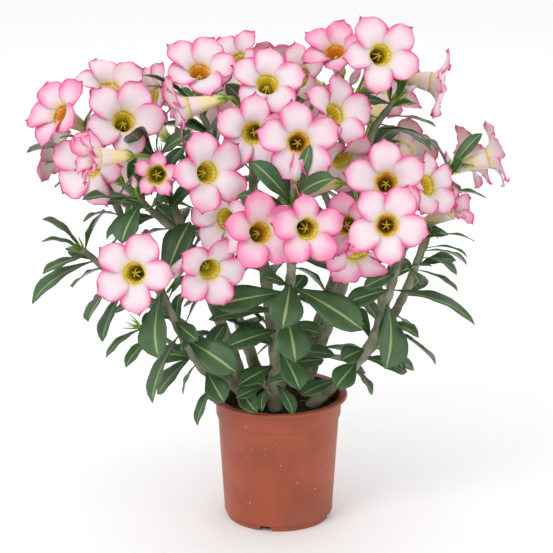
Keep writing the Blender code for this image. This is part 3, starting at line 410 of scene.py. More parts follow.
def leaf_tips(base, tip, direction):
    """The leaf's own tip first, then its tip after each turn or lift that may free it."""
    reach = tip - base
    side = reach.cross(Vector((0.0, 0.0, 1.0))).normalized()
    for turn, lift in LEAF_TURNS:
        turned_reach = Matrix.Rotation(math.radians(turn), 3, direction) @ reach
        yield base + Matrix.Rotation(math.radians(lift), 3, side) @ turned_reach


def spiral_leaves(name, path):
    """Leaf bases and tips up a twig, each turned by the golden angle from the last."""
    first, last, count, length = SPIRALS[name]
    for index in range(count):
        t = index / max(count - 1, 1)
        base, direction = point_at_height(path, first + (last - first) * t)
        side = direction.cross(Vector((0.3, -1.0, 0.2))).normalized()
        radial = Matrix.Rotation(GOLDEN_ANGLE * index, 3, direction) @ side
        size = length * (1.0 - 0.35 * t * t) * (0.9 + 0.1 * math.cos(index * 2.4))
        rise = 0.10 + 0.75 * t
        tip = base + (radial + direction * rise).normalized() * size
        yield base, tip, direction, size * (0.36 + 0.04 * math.sin(index * 1.7)), t


def flower_matrix(mouth, turn, lift, roll):
    """Flower space to plant space: the flower looks along its own +Z."""
    turn, lift = math.radians(turn), math.radians(lift)
    axis = Vector((math.sin(turn) * math.cos(lift), -math.cos(turn) * math.cos(lift), math.sin(lift)))
    right = Vector((math.cos(turn), math.sin(turn), 0.0))
    up = axis.cross(right)
    turned = Matrix((right, up, axis)).transposed() @ Matrix.Rotation(math.radians(roll), 3, "Z")
    return Matrix.Translation(mouth) @ turned.to_4x4()


def stalk_root(path, tip_radius, foot, step):
    """Where a stalk leaves its twig, some steps back from the tip, and its direction there."""
    along = (path[-1] - path[-2]).normalized()
    origin = path[-1] - along * STALK_SPACING * (step + 0.3)
    direction = foot - origin
    direction = (direction - along * direction.dot(along)).normalized()
    clear = tip_radius * 1.25 + STALK_RADIUS + GAP
    return origin + direction * clear, (direction + along * 0.5).normalized()


def points_of(node):
    """A search tree over the corners of a solid of the frame."""
    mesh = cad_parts[node].data
    tree = kdtree.KDTree(len(mesh.vertices))
    for vertex in mesh.vertices:
        tree.insert(vertex.co, vertex.index)
    tree.balance()
    return tree


def placed_leaves(branch):
    """The leaves of a branch as (base, tip, width, youth), where the frame has them."""
    corners = points_of(branch)
    rows = []
    for twig, height, tip, width in LEAVES:
        if TWIGS[twig][0] == branch:
            base, direction = point_at_height(PATHS[twig], height)
            rows.append((base, Vector(tip), direction, width, 0.15 if width > 0.0125 else 0.6))
    for twig in SPIRALS:
        if TWIGS[twig][0] == branch:
            for base, tip, direction, width, t in spiral_leaves(twig, PATHS[twig]):
                rows.append((base, tip, direction, width, 0.1 + 0.5 * t ** 4))
    found = []
    for base, tip, direction, width, youth in rows:
        for free_tip in leaf_tips(base, tip, direction):
            if corners.find(free_tip)[2] < MATCH:
                found.append((base, free_tip, width, youth))
                break
    return found


def placed_flower(number):
    """A flower's frame and its stalk's root, where the frame has them."""
    mouth, turn, lift, roll, spread, closed = FLOWERS[number - 1]
    corners = points_of("flower_%02d" % number)
    matrix = flower_matrix(Vector(mouth), turn, lift, roll)
    foot = matrix @ Vector((0.0, 0.0, -TUBE_LENGTH))
    axis = matrix.to_3x3() @ Vector((0.0, 0.0, 1.0))
    reach = spread / 2 - MOUTH_RADIUS
    corner = Vector((MOUTH_RADIUS + reach * math.cos(math.radians(75 * closed)), 0.0,
                     reach * math.sin(math.radians(10 + 65 * closed))))
    slide = min(FLOWER_SLIDES, key=lambda way: corners.find(matrix @ corner + axis * way)[2])
    twig = min(PATHS, key=lambda name: (PATHS[name][-1] - foot).length)
    roots = [stalk_root(PATHS[twig], TWIGS[twig][3], foot, step) for step in range(STALK_STEPS)]
    root = min(roots, key=lambda place: corners.find(place[0])[2])
    return Matrix.Translation(axis * slide) @ matrix, axis, root


# ---------------------------------------------------------------- node helpers

class Term:
    """A number inside a node tree that Python's operators can work on."""

    def __init__(self, tree, socket):
        self.tree = tree
        self.socket = socket

    def step(self, operation, *others):
        node = self.tree.nodes.new("ShaderNodeMath")
        node.operation = operation
        self.tree.links.new(self.socket, node.inputs[0])
        for index, other in enumerate(others, start=1):
            if isinstance(other, Term):
                self.tree.links.new(other.socket, node.inputs[index])
            else:
                node.inputs[index].default_value = other
        return Term(self.tree, node.outputs[0])

    def __add__(self, other):
        return self.step("ADD", other)

    def __sub__(self, other):
        return self.step("SUBTRACT", other)

    def __mul__(self, other):
        return self.step("MULTIPLY", other)

    def __truediv__(self, other):
        return self.step("DIVIDE", other)

    def __pow__(self, other):
        return self.step("POWER", other)

    def flipped(self):
        """One minus the number."""
        return self.step("MULTIPLY", -1.0).step("ADD", 1.0)

    def ramp(self, low, high):
        """Smoothly 0 below low and 1 above high."""
        node = self.tree.nodes.new("ShaderNodeMapRange")
        node.interpolation_type = "SMOOTHSTEP"
        self.tree.links.new(self.socket, node.inputs["Value"])
        node.inputs["From Min"].default_value = low
        node.inputs["From Max"].default_value = high
        return Term(self.tree, node.outputs["Result"])


class Surface:
    """A Principled material whose nodes are added step by step."""

    def __init__(self, name, roughness):
        self.material = bpy.data.materials.new(name)
        self.material.use_nodes = True
        self.tree = self.material.node_tree
        self.shader = self.tree.nodes["Principled BSDF"]
        self.shader.inputs["Roughness"].default_value = roughness

    def fix(self, socket, value):
        self.shader.inputs[socket].default_value = value

    def set(self, socket, source):
        self.tree.links.new(source.socket if isinstance(source, Term) else source,
                            self.shader.inputs[socket])

    def uv(self):
        """Across and along a petal or leaf, each from 0 to 1."""
        node = self.tree.nodes.new("ShaderNodeUVMap")
        node.uv_map = "UVMap"
        split = self.tree.nodes.new("ShaderNodeSeparateXYZ")
        self.tree.links.new(node.outputs[0], split.inputs[0])
        return Term(self.tree, split.outputs[0]), Term(self.tree, split.outputs[1])

    def own(self, name):
        node = self.tree.nodes.new("ShaderNodeAttribute")
        node.attribute_name = name
        return Term(self.tree, node.outputs["Fac"])

    def coordinates(self, stretch=(1.0, 1.0, 1.0), from_uv=False):
        mapping = self.tree.nodes.new("ShaderNodeMapping")
        mapping.inputs["Scale"].default_value = stretch
        if from_uv:
            node = self.tree.nodes.new("ShaderNodeUVMap")
            node.uv_map = "UVMap"
            self.tree.links.new(node.outputs[0], mapping.inputs[0])
        else:
            node = self.tree.nodes.new("ShaderNodeTexCoord")
            self.tree.links.new(node.outputs["Object"], mapping.inputs[0])
        return mapping.outputs[0]

    def noise(self, scale, detail=3.0, stretch=(1.0, 1.0, 1.0), from_uv=False):
        node = self.tree.nodes.new("ShaderNodeTexNoise")
        node.inputs["Scale"].default_value = scale
        node.inputs["Detail"].default_value = detail
        self.tree.links.new(self.coordinates(stretch, from_uv), node.inputs["Vector"])
        return Term(self.tree, node.outputs["Fac"])

    def specks(self, scale, size):
        """Small round specks, 1 inside each."""
        node = self.tree.nodes.new("ShaderNodeTexVoronoi")
        node.inputs["Scale"].default_value = scale
        self.tree.links.new(self.coordinates(), node.inputs["Vector"])
        return Term(self.tree, node.outputs["Distance"]).ramp(size, size * 0.6)

    def blend(self, amount, first, second):
        node = self.tree.nodes.new("ShaderNodeMix")
        node.data_type = "RGBA"
        self.tree.links.new(amount.socket, node.inputs[0])
        for socket, value in ((node.inputs[6], first), (node.inputs[7], second)):
            if isinstance(value, bpy.types.NodeSocket):
                self.tree.links.new(value, socket)
            else:
                socket.default_value = (*value[:3], 1.0)
        return node.outputs[2]

    def bump(self, height, strength, distance):
        node = self.tree.nodes.new("ShaderNodeBump")
        node.inputs["Strength"].default_value = strength
        node.inputs["Distance"].default_value = distance
        self.tree.links.new(height.socket, node.inputs["Height"])
        self.tree.links.new(node.outputs[0], self.shader.inputs["Normal"])


def new_tree(name, inputs):
    """A geometry tree with a geometry input and output and named size inputs."""
    tree = bpy.data.node_groups.new(name, "GeometryNodeTree")
    tree.interface.new_socket("Geometry", in_out="INPUT", socket_type="NodeSocketGeometry")
    for label, kind, default in inputs:
        socket = tree.interface.new_socket(label, in_out="INPUT", socket_type=kind)
        socket.default_value = default
    tree.interface.new_socket("Geometry", in_out="OUTPUT", socket_type="NodeSocketGeometry")
    return tree, tree.nodes.new("NodeGroupInput"), tree.nodes.new("NodeGroupOutput")


def run_tree(obj, tree, values):
    """Evaluate a geometry tree on an object and keep the result as its plain mesh."""
    modifier = obj.modifiers.new("Nodes", "NODES")
    modifier.node_group = tree
    for item in tree.interface.items_tree:
        if item.in_out == "INPUT" and item.name in values:
            modifier[item.identifier] = values[item.name]
    bake_modifiers(obj)


def bake_modifiers(obj):
    """Keep an object's evaluated shape as its plain mesh, without modifiers."""
    bpy.context.view_layer.update()
    evaluated = obj.evaluated_get(bpy.context.evaluated_depsgraph_get())
    mesh = bpy.data.meshes.new_from_object(evaluated)
    obj.modifiers.clear()
    obj.data = mesh


def new_piece(name, mesh):
    """A new object of the scene around a mesh or other data."""
    obj = bpy.data.objects.new(name, mesh)
    bpy.context.scene.collection.objects.link(obj)
    return obj


def joined(name, objects):
    """One object from several, with all their materials."""
    with bpy.context.temp_override(active_object=objects[0], object=objects[0],
                                   selected_objects=objects, selected_editable_objects=objects):
        bpy.ops.object.join()
    objects[0].name = name
    objects[0].data.name = name
    return objects[0]


def tube(name, path, start_radius, end_radius, material, sides=4):
    """A closed tapering tube along a path as a mesh, with its UV map."""
    curve = bpy.data.curves.new(name, "CURVE")
    curve.dimensions = "3D"
    curve.bevel_depth = 1.0
    curve.bevel_resolution = sides
    curve.use_fill_caps = True
    spline = curve.splines.new("POLY")
    spline.points.add(len(path) - 1)
    for index, place in enumerate(path):
        t = index / (len(path) - 1)
        spline.points[index].co = (*place, 1.0)
        spline.points[index].radius = start_radius + (end_radius - start_radius) * t
    spline.use_smooth = True
    obj = new_piece(name, curve)
    bpy.context.view_layer.update()
    mesh = bpy.data.meshes.new_from_object(obj.evaluated_get(bpy.context.evaluated_depsgraph_get()))
    bpy.data.objects.remove(obj)
    mesh.materials.clear()
    mesh.materials.append(material)
    bm = bmesh.new()
    bm.from_mesh(mesh)
    bmesh.ops.remove_doubles(bm, verts=bm.verts, dist=0.000002)
    bmesh.ops.recalc_face_normals(bm, faces=bm.faces)
    bm.to_mesh(mesh)
    bm.free()
    mesh.shade_smooth()
    return new_piece(name, mesh)


# ---------------------------------------------------------------- materials

def leaf_material(props):
    """Glossy dark green with a cream rib and faint side veins."""
    surface = Surface("leaf_upper", 0.26)
    across, along = surface.uv()
    edge = (across - 0.5).step("ABSOLUTE") * 2.0
    rib_width = along.flipped() ** 3.0 * 0.11 + 0.030
    rib = (edge / rib_width).ramp(1.0, 0.55)
    lean = (along * 10.0 - edge * 2.4).step("FRACT") - 0.5
    vein = (lean.step("ABSOLUTE") * 2.0).ramp(0.86, 1.0) * (edge.flipped() * 0.42)
    mottled = surface.noise(90.0)
    youth = surface.own("youth")
    dark = surface.blend(mottled.ramp(0.35, 0.7), props.leaf_dark, props.leaf_mid)
    aged = surface.blend(youth, dark, props.leaf_young)
    veined = surface.blend(vein, aged, props.leaf_vein)
    edged = surface.blend(edge.ramp(0.93, 1.0) * 0.35, veined, props.leaf_vein)
    surface.set("Base Color", surface.blend(rib * 0.85, edged, props.leaf_rib))
    surface.set("Roughness", mottled * 0.16 + 0.20)
    surface.fix("Coat Weight", 0.45)
    surface.fix("Coat Roughness", 0.18)
    surface.bump((rib * -0.6 - vein * 0.8) + mottled * 0.35, 0.5, 0.0006)
    return surface.material


def leaf_back_material(props):
    """Duller, paler green with a raised rib."""
    surface = Surface("leaf_underside", 0.45)
    edge = (surface.uv()[0] - 0.5).step("ABSOLUTE") * 2.0
    rib = edge.ramp(0.12, 0.04)
    paler = surface.blend(surface.noise(70.0), props.leaf_back, props.leaf_mid)
    surface.set("Base Color", surface.blend(rib * 0.8, paler, props.leaf_rib))
    surface.bump(rib, 0.5, 0.0006)
    return surface.material


def bark_material(props):
    """Smooth grey-green bark with darker patches and old scars."""
    surface = Surface("grey_green_bark", 0.7)
    patches = surface.noise(55.0, 5.0)
    fine = surface.noise(420.0, 4.0, (1.0, 1.0, 0.35))
    base = surface.blend(patches.ramp(0.35, 0.68), props.bark_light, props.bark_dark)
    surface.set("Base Color", surface.blend(fine.ramp(0.55, 0.8) * 0.5, base, (0.16, 0.13, 0.09)))
    surface.bump(fine * 0.6 + patches, 0.6, 0.0012)
    return surface.material


def young_green_material(props):
    """Fresh green of stalks, sepals and sprouts."""
    surface = Surface("young_green", 0.4)
    patches = surface.noise(160.0)
    surface.set("Base Color", surface.blend(patches, props.sprout_light, props.sprout_dark))
    surface.bump(patches, 0.3, 0.0004)
    return surface.material


def petal_material(props):
    """White at the root, pink outwards, with a strong pink margin."""
    surface = Surface("petal", 0.5)
    across, along = surface.uv()
    side = (across - 0.5).step("ABSOLUTE") * 2.0
    streaks = surface.noise(1.0, 2.0, (26.0, 1.6, 1.0), from_uv=True)
    cloud = surface.noise(60.0, 2.0)
    blush = surface.own("blush")
    rim = (side ** 2.2 * along.ramp(0.05, 0.6)).step("MAXIMUM", along ** 3.4)
    wide = (rim + blush * 0.50 + streaks * 0.26 - 0.20 + cloud * 0.12).ramp(0.18, 1.0)
    thin = (rim + streaks * 0.14 + blush * 0.10).ramp(0.72, 1.10)
    body = surface.blend(wide, props.petal_white, props.petal_pink)
    edged = surface.blend(thin, body, props.petal_margin)
    glow = along.ramp(0.26, 0.0)
    surface.set("Base Color", surface.blend(glow * 0.9, edged, props.petal_glow))
    surface.fix("Subsurface Weight", 0.15)
    surface.fix("Subsurface Scale", 0.003)
    surface.bump(streaks, 0.25, 0.0005)
    return surface.material


def throat_material(props):
    """Olive or orange inside of the funnel, with fine reddish lines and painted shade darkening it towards
    the foot.
    """
    surface = Surface("throat", 0.5)
    across, along = surface.uv()
    warm = surface.own("warm")
    stripe = ((across * 15.0).step("FRACT") - 0.5).step("ABSOLUTE") * 2.0
    line = stripe.ramp(0.30, 0.0) * along.ramp(0.35, 0.8) * 0.55
    base = surface.blend(warm, props.throat_olive, props.throat_orange)
    # Painted shade: a darker copy of the throat colour towards the funnel's foot.
    shaded = surface.blend(along.ramp(0.15, 0.8), props.throat_painted_shade, base)
    surface.set("Base Color", surface.blend(line, shaded, props.throat_line))
    return surface.material


def stamen_material(props):
    """Plain yellow of the stamens."""
    surface = Surface("stamen", 0.6)
    surface.set("Base Color", surface.blend(surface.noise(300.0), props.throat_olive, props.petal_glow))
    return surface.material


def tube_material(props):
    """Outside of the funnel, from green through yellow to blush."""
    surface = Surface("flower_tube", 0.45)
    along = surface.uv()[1]
    streaks = surface.noise(1.0, 2.0, (18.0, 1.2, 1.0), from_uv=True)
    blushed = surface.blend(along.ramp(0.45, 1.0) * 0.9, props.tube_yellow, props.petal_white)
    green = surface.blend(along.ramp(0.35, 0.0), blushed, props.tube_green)
    surface.set("Base Color", surface.blend(streaks.ramp(0.45, 0.9) * 0.45, green, props.petal_pink))
    surface.bump(streaks, 0.3, 0.0005)
    return surface.material


def pot_material(props):
    """Orange-brown plastic with smudges, dust and pale specks."""
    surface = Surface("pot_plastic", 0.42)
    smudge = surface.noise(24.0, 5.0)
    grime = surface.noise(9.0, 4.0, (1.0, 1.0, 1.6))
    dots = surface.specks(150.0, 0.10) * surface.noise(45.0).ramp(0.52, 0.62)
    base = surface.blend(smudge.ramp(0.3, 0.75), props.pot_colour, props.pot_dark)
    dusty = surface.blend(grime.ramp(0.52, 0.78) * 0.35, base, props.pot_dust)
    surface.set("Base Color", surface.blend(dots, dusty, (0.75, 0.62, 0.55)))
    surface.set("Roughness", smudge * 0.25 + 0.34)
    surface.bump(surface.noise(600.0) * 0.3 + dots, 0.2, 0.0004)
    return surface.material


def soil_material(props, name="soil", fibres=False):
    """Dark crumbly soil, or pale brown fibres."""
    surface = Surface(name, 0.95)
    grain = surface.noise(380.0, 6.0)
    colours = ((0.45, 0.30, 0.14), (0.22, 0.12, 0.05)) if fibres else (props.soil_dark, props.soil_light)
    surface.set("Base Color", surface.blend(grain.ramp(0.35, 0.7), *colours))
    surface.bump(grain, 0.9, 0.002)
    return surface.material


# ---------------------------------------------------------------- leaves

def own_value(tree, name, kind="FLOAT"):
    """The output of a value that each leaf's point carries."""
    node = tree.nodes.new("GeometryNodeInputNamedAttribute")
    node.data_type = kind
    node.inputs["Name"].default_value = name
    return node.outputs[0]


def leaf_copies(tree, start):
    """A grid with its UV map for every point, as real geometry."""
    link = tree.links.new
    grid = tree.nodes.new("GeometryNodeMeshGrid")
    link(start.outputs["Columns"], grid.inputs["Vertices X"])
    link(start.outputs["Rows"], grid.inputs["Vertices Y"])
    keep_uv = tree.nodes.new("GeometryNodeStoreNamedAttribute")
    keep_uv.data_type = "FLOAT2"
    keep_uv.domain = "CORNER"
    keep_uv.inputs["Name"].default_value = "UVMap"
    link(grid.outputs["Mesh"], keep_uv.inputs["Geometry"])
    link(grid.outputs["UV Map"], keep_uv.inputs["Value"])
    copies = tree.nodes.new("GeometryNodeInstanceOnPoints")
    link(start.outputs["Geometry"], copies.inputs["Points"])
    link(keep_uv.outputs[0], copies.inputs["Instance"])
    real = tree.nodes.new("GeometryNodeRealizeInstances")
    link(copies.outputs[0], real.inputs[0])
    return real.outputs[0]


def leaf_offsets(tree, start):
    """How far each corner of a blade lies along, beside and above the leaf's base."""
    split = tree.nodes.new("ShaderNodeSeparateXYZ")
    tree.links.new(tree.nodes.new("GeometryNodeInputPosition").outputs[0], split.inputs[0])
    across = Term(tree, split.outputs[0]) * 2.0
    along = Term(tree, split.outputs[1]) + 0.5
    length, width, arch, phase = (Term(tree, own_value(tree, name)) for name in LEAF_NUMBERS)
    swell = ((along ** 1.9) * math.pi).step("SINE").step("MAXIMUM", 0.0) ** 0.7
    taper = along.ramp(1.0, 0.985).step("MAXIMUM", 0.02)
    breadth = (swell * width * 0.5).step("MAXIMUM", SMALLEST_HALF_WIDTH) * taper
    reach = across.step("ABSOLUTE")
    fold = Term(tree, start.outputs["Fold"]) * reach * breadth
    ripple = (along * 17.0 + phase).step("SINE") * reach * reach * Term(tree, start.outputs["Wave"])
    bow = arch * length * along * along.flipped() * 4.0
    curl = (along - 0.7).step("MAXIMUM", 0.0) ** 2.0 * length * arch * -2.5
    lift = fold + ripple * along.ramp(0.1, 0.5) + bow + curl
    return ("along", along * length), ("side", across * breadth), ("face", lift)


def leaf_tree(material):
    """Blades from points that hold each leaf's place, directions and size."""
    tree, start, end = new_tree("leaf_blades", (
        ("Columns", "NodeSocketInt", 7), ("Rows", "NodeSocketInt", 13),
        ("Fold", "NodeSocketFloat", 0.22), ("Wave", "NodeSocketFloat", 0.0007)))
    link = tree.links.new
    blades = leaf_copies(tree, start)
    place = own_value(tree, "base", "FLOAT_VECTOR")
    for name, amount in leaf_offsets(tree, start):
        scaled = tree.nodes.new("ShaderNodeVectorMath")
        scaled.operation = "SCALE"
        link(own_value(tree, name, "FLOAT_VECTOR"), scaled.inputs[0])
        link(amount.socket, scaled.inputs["Scale"])
        added = tree.nodes.new("ShaderNodeVectorMath")
        added.operation = "ADD"
        link(place, added.inputs[0])
        link(scaled.outputs[0], added.inputs[1])
        place = added.outputs[0]
    move = tree.nodes.new("GeometryNodeSetPosition")
    link(blades, move.inputs["Geometry"])
    link(place, move.inputs["Position"])
    smooth = tree.nodes.new("GeometryNodeSetShadeSmooth")
    link(move.outputs[0], smooth.inputs["Geometry"])
    paint = tree.nodes.new("GeometryNodeSetMaterial")
    paint.inputs["Material"].default_value = material
    link(smooth.outputs[0], paint.inputs["Geometry"])
    link(paint.outputs[0], end.inputs[0])
    return tree


def leaf_points(name, leaves, rng):
    """A mesh of loose points, one for each leaf, with the leaf's own values."""
    mesh = bpy.data.meshes.new(name)
    mesh.from_pydata([(0.0, 0.0, 0.0)] * len(leaves), [], [])
    columns = {key: [] for key in LEAF_VECTORS}
    numbers = {key: [] for key in (*LEAF_NUMBERS, "youth")}
    for base, tip, width, youth in leaves:
        along, side, face = leaf_frame(base, tip)
        roll = Matrix.Rotation(rng.uniform(-0.35, 0.35), 3, along)
        columns["base"].extend(base)
        columns["along"].extend(along)
        columns["side"].extend(roll @ side)
        columns["face"].extend(roll @ face)
        numbers["length"].append((tip - base).length * LEAF_STRETCH)
        numbers["width"].append(width * LEAF_WIDENING)
        numbers["arch"].append(rng.uniform(0.04, 0.13))
        numbers["phase"].append(rng.uniform(0.0, 6.0))
        numbers["youth"].append(max(0.0, min(1.0, youth + rng.uniform(-0.12, 0.12))))
    for key, values in columns.items():
        mesh.attributes.new(key, "FLOAT_VECTOR", "POINT").data.foreach_set("vector", values)
    for key, values in numbers.items():
        mesh.attributes.new(key, "FLOAT", "POINT").data.foreach_set("value", values)
    return mesh


def make_leaves(branch, tree, back, sizes, rng):
    """All the leaves of a branch as one piece, paler underneath."""
    name = branch + "_leaves"
    obj = new_piece(name, leaf_points(name, placed_leaves(branch), rng))
    run_tree(obj, tree, {"Fold": sizes.leaf_fold, "Wave": sizes.leaf_wave})
    for name in (*LEAF_VECTORS, *LEAF_NUMBERS):
        obj.data.attributes.remove(obj.data.attributes[name])
    obj.data.materials.append(back)
    skin = obj.modifiers.new("Skin", "SOLIDIFY")
    skin.thickness = LEAF_SKIN
    skin.offset = -1.0
    skin.material_offset = 1
    bake_modifiers(obj)
    return obj


# ---------------------------------------------------------------- twigs and buds

def make_wood(branch, bark, green):
    """The twigs of a branch, with the sprouts around their ends, as one piece."""
    pieces = []
    for name, (owner, points, low, high) in TWIGS.items():
        if owner != branch:
            continue
        path = smooth_path(points, WOOD_STEP)
        twig = tube(name, path, low, high, bark, sides=5)
        roughen_twig(twig.data)
        pieces.append(twig)
        pieces += tip_sprouts(name, path[-1], (path[-1] - path[-2]).normalized(), high, green)
    return joined(branch + "_wood", pieces)


def roughen_twig(mesh):
    """Swollen rings and old leaf scars along the bark."""
    for vertex in mesh.vertices:
        place = vertex.co
        swell = (0.00035 * math.sin(place.z * 420 + place.x * 90)
                 + 0.00030 * math.sin(place.x * 610) * math.sin(place.y * 570 + place.z * 330))
        vertex.co = place + vertex.normal * swell


def tip_sprouts(name, tip, direction, radius, green):
    """Small pointed young leaves and bracts around a twig's end."""
    rng = random.Random(name)
    sprouts = []
    for index in range(7):
        across = direction.orthogonal().normalized()
        turn = Matrix.Rotation(GOLDEN_ANGLE * index, 3, direction)
        lean = (turn @ across * rng.uniform(0.4, 0.9) + direction).normalized()
        start = tip - direction * radius * rng.uniform(0.2, 1.6)
        length = rng.uniform(0.008, 0.015)
        path = [start, start + lean * length * 0.5, start + (lean + direction * 0.3) * length]
        sprouts.append(tube("%s_sprout_%d" % (name, index), path, 0.0015, 0.0003, green, sides=1))
    return sprouts


def make_bud_piece(index, green, petal):
    """A furled bud with its stalk: green at the foot, striped pink at the tip."""
    twig, foot, tip, radius = BUDS[index]
    foot, tip = Vector(foot), Vector(tip)
    axis = tip - foot
    turn = axis.to_track_quat("Z", "Y").to_matrix()
    bm = bmesh.new()
    bmesh.ops.create_grid(bm, x_segments=20, y_segments=16, size=1.0)
    uv = bm.loops.layers.uv.new("UVMap")
    for face in bm.faces:
        for loop in face.loops:
            loop[uv].uv = ((loop.vert.co.x + 1) / 2, (loop.vert.co.y + 1) / 2)
    for vertex in bm.verts:
        t = (vertex.co.y + 1) / 2
        angle = vertex.co.x * math.pi + t * 2.2
        wide = radius * math.sin(math.pi * t ** 0.8) ** 0.75 * (1.06 - 0.45 * t) if 0 < t < 1 else 0.0
        wide *= 1.0 + 0.10 * math.cos(5 * (angle - t * 2.2 * 2)) * t
        vertex.co = foot + turn @ Vector((wide * math.cos(angle), wide * math.sin(angle), axis.length * t))
    bmesh.ops.remove_doubles(bm, verts=bm.verts, dist=0.000005)
    bmesh.ops.recalc_face_normals(bm, faces=bm.faces)
    mesh = bpy.data.meshes.new("bud")
    bm.to_mesh(mesh)
    bm.free()
    mesh.materials.append(petal)
    mesh.shade_smooth()
    bud = new_piece("bud", mesh)
    root = PATHS[twig][-1] * 0.8 + PATHS[twig][-2] * 0.2
    direction = (PATHS[twig][-1] - PATHS[twig][-2]).normalized()
    stalk = tube("bud_stalk", bezier(root, direction, foot + axis * 0.1, -axis.normalized(), 10),
                 0.0013, 0.0016, green, sides=3)
    return joined("bud_%02d" % (index + 1), [bud, stalk])


def bezier(root, root_direction, foot, foot_direction, count):
    """Points of a smooth stalk from a twig to a flower's foot."""
    reach = (foot - root).length / 3
    first = root + root_direction * reach
    second = foot + foot_direction * reach
    path = []
    for index in range(count):
        t = index / (count - 1)
        path.append(root * (1 - t) ** 3 + first * 3 * t * (1 - t) ** 2
                    + second * 3 * t * t * (1 - t) + foot * t ** 3)
    return path


# ---------------------------------------------------------------- flowers

def petal_line(length, closed, curl, steps):
    """Radius and height along a petal's middle, from the mouth outwards."""
    radius, height = MOUTH_RADIUS, 0.0
    line = [(radius, height)]
    for index in range(steps):
        t = (index + 0.5) / steps
        slope = math.radians(62 * (1 - t) ** 2.2 + 74 * closed * (1 - 0.35 * t) - curl * t * t)
        radius += math.cos(slope) * length / steps
        height += math.sin(slope) * length / steps
        line.append((radius, height))
    return line


def add_faces(bm, uv, grid, columns, rows):
    """Faces between rows of corners; the UV map runs across and along them."""
    stride = columns + 1
    for row in range(rows):
        for column in range(columns):
            first = row * stride + column
            corners = (first, first + 1, first + 1 + stride, first + stride)
            face = bm.faces.new([grid[corner] for corner in corners])
            for loop, (du, dv) in zip(face.loops, ((0, 0), (1, 0), (1, 1), (0, 1))):
                loop[uv].uv = ((column + du) / columns, (row + dv) / rows)


def petal_mesh(bm, uv, matrix, angle, length, closed, rng):
    """One broad, wavy petal whose one side passes over its neighbour."""
    columns, rows = 10, 12
    curl = rng.uniform(14, 40)
    line = petal_line(length, closed, curl, rows)
    wave = rng.uniform(0.0006, 0.0015)
    phase = rng.uniform(0.0, 6.3)
    half = length * rng.uniform(0.47, 0.55)
    slant = rng.uniform(0.10, 0.24)
    grid = []
    for row in range(rows + 1):
        t = row / rows
        radius, height = line[row]
        if t < PETAL_WIDEST:
            growth = math.sin(math.pi / 2 * t / PETAL_WIDEST) ** 1.25
            wide = PETAL_FOOT + (half - PETAL_FOOT) * growth
        else:
            wide = half * max(1 - ((t - PETAL_WIDEST) / 0.38) ** 2.3, 0.0) ** 0.62
        for column in range(columns + 1):
            u = column / columns * 2 - 1
            turn = angle + slant * t + u * wide / radius
            lift = u * 0.0021 * min(t * 3, 1.0) + (u * u - 0.3) * wide * 0.16 * t
            lift += wave * math.sin(9 * t + 5 * u + phase) * u * u * min(t * 2, 1.0)
            lift += wave * 0.7 * math.sin(23 * t * u + phase) * abs(u) ** 3
            reach = radius + t ** 4 * PETAL_POINT * (1 - abs(u)) ** 1.6
            place = Vector((math.cos(turn) * reach, math.sin(turn) * reach, height + lift))
            grid.append(bm.verts.new(matrix @ place))
    add_faces(bm, uv, grid, columns, rows)


def funnel_mesh(bm, uv, matrix):
    """The flower's funnel from its foot to its mouth."""
    columns, rows = 25, 9
    grid = []
    for row in range(rows + 1):
        t = row / rows
        flare = (MOUTH_RADIUS - 0.0052) * max(t - 0.2, 0.0) ** 1.25 / 0.757
        radius = FUNNEL_FOOT + FUNNEL_BULGE * min(t / 0.25, 1.0) + flare
        height = -TUBE_LENGTH + TUBE_LENGTH * t
        for column in range(columns + 1):
            angle = math.tau * column / columns
            ribbed = radius * (1 + 0.05 * math.cos(5 * angle) * t)
            place = Vector((ribbed * math.cos(angle), ribbed * math.sin(angle), height))
            grid.append(bm.verts.new(matrix @ place))
    add_faces(bm, uv, grid, columns, rows)
    bmesh.ops.remove_doubles(bm, verts=bm.verts, dist=0.000005)


def sheet_object(name, fill, materials, thickness, material_offset, values):
    """An open surface filled in by a function, with its wall and its own values."""
    bm = bmesh.new()
    uv = bm.loops.layers.uv.new("UVMap")
    fill(bm, uv)
    bm.normal_update()
    mesh = bpy.data.meshes.new(name)
    bm.to_mesh(mesh)
    bm.free()
    for material in materials:
        mesh.materials.append(material)
    for key, value in values.items():
        mesh.attributes.new(key, "FLOAT", "POINT").data.foreach_set("value", [value] * len(mesh.vertices))
    mesh.shade_smooth()
    obj = new_piece(name, mesh)
    wall = obj.modifiers.new("Wall", "SOLIDIFY")
    wall.thickness = thickness
    wall.offset = -1.0
    wall.material_offset = material_offset
    bake_modifiers(obj)
    return obj


def make_flower(number, finishes):
    """Petals, funnel, stamens, sepals and stalk of one flower, as one piece."""
    rng = random.Random(number)
    spread, closed = FLOWERS[number - 1][4:]
    matrix, axis, (root, root_direction) = placed_flower(number)
    tone = 0.75 if number in STRONG_PINK else 0.0 if number in PALE_PINK else 0.25
    values = {"blush": min(1.0, tone + rng.uniform(-0.10, 0.10)), "warm": ORANGE_THROATS.get(number, 0.1)}
    length = spread / 2 - MOUTH_RADIUS + 0.004

    def petals(bm, uv):
        for index in range(PETALS):
            angle = math.tau * index / PETALS + rng.uniform(-0.06, 0.06)
            petal_mesh(bm, uv, matrix, angle, length * rng.uniform(0.93, 1.06), closed, rng)

    name = "flower_%02d" % number
    pieces = [
        sheet_object(name, petals, [finishes["petal"]], PETAL_SKIN, 0, values),
        sheet_object(name + "_funnel", lambda bm, uv: funnel_mesh(bm, uv, matrix),
                     [finishes["tube"], finishes["throat"]], FUNNEL_SKIN, 1, values),
    ]
    foot = matrix @ Vector((0.0, 0.0, -TUBE_LENGTH + 0.001))
    stalk = bezier(root - root_direction * 0.002, root_direction, foot, -axis, 12)
    pieces.append(tube(name + "_stalk", stalk, 0.0014, 0.0020, finishes["green"], sides=3))
    pieces += flower_trim(name, matrix, finishes)
    return joined(name + "_bloom", pieces)


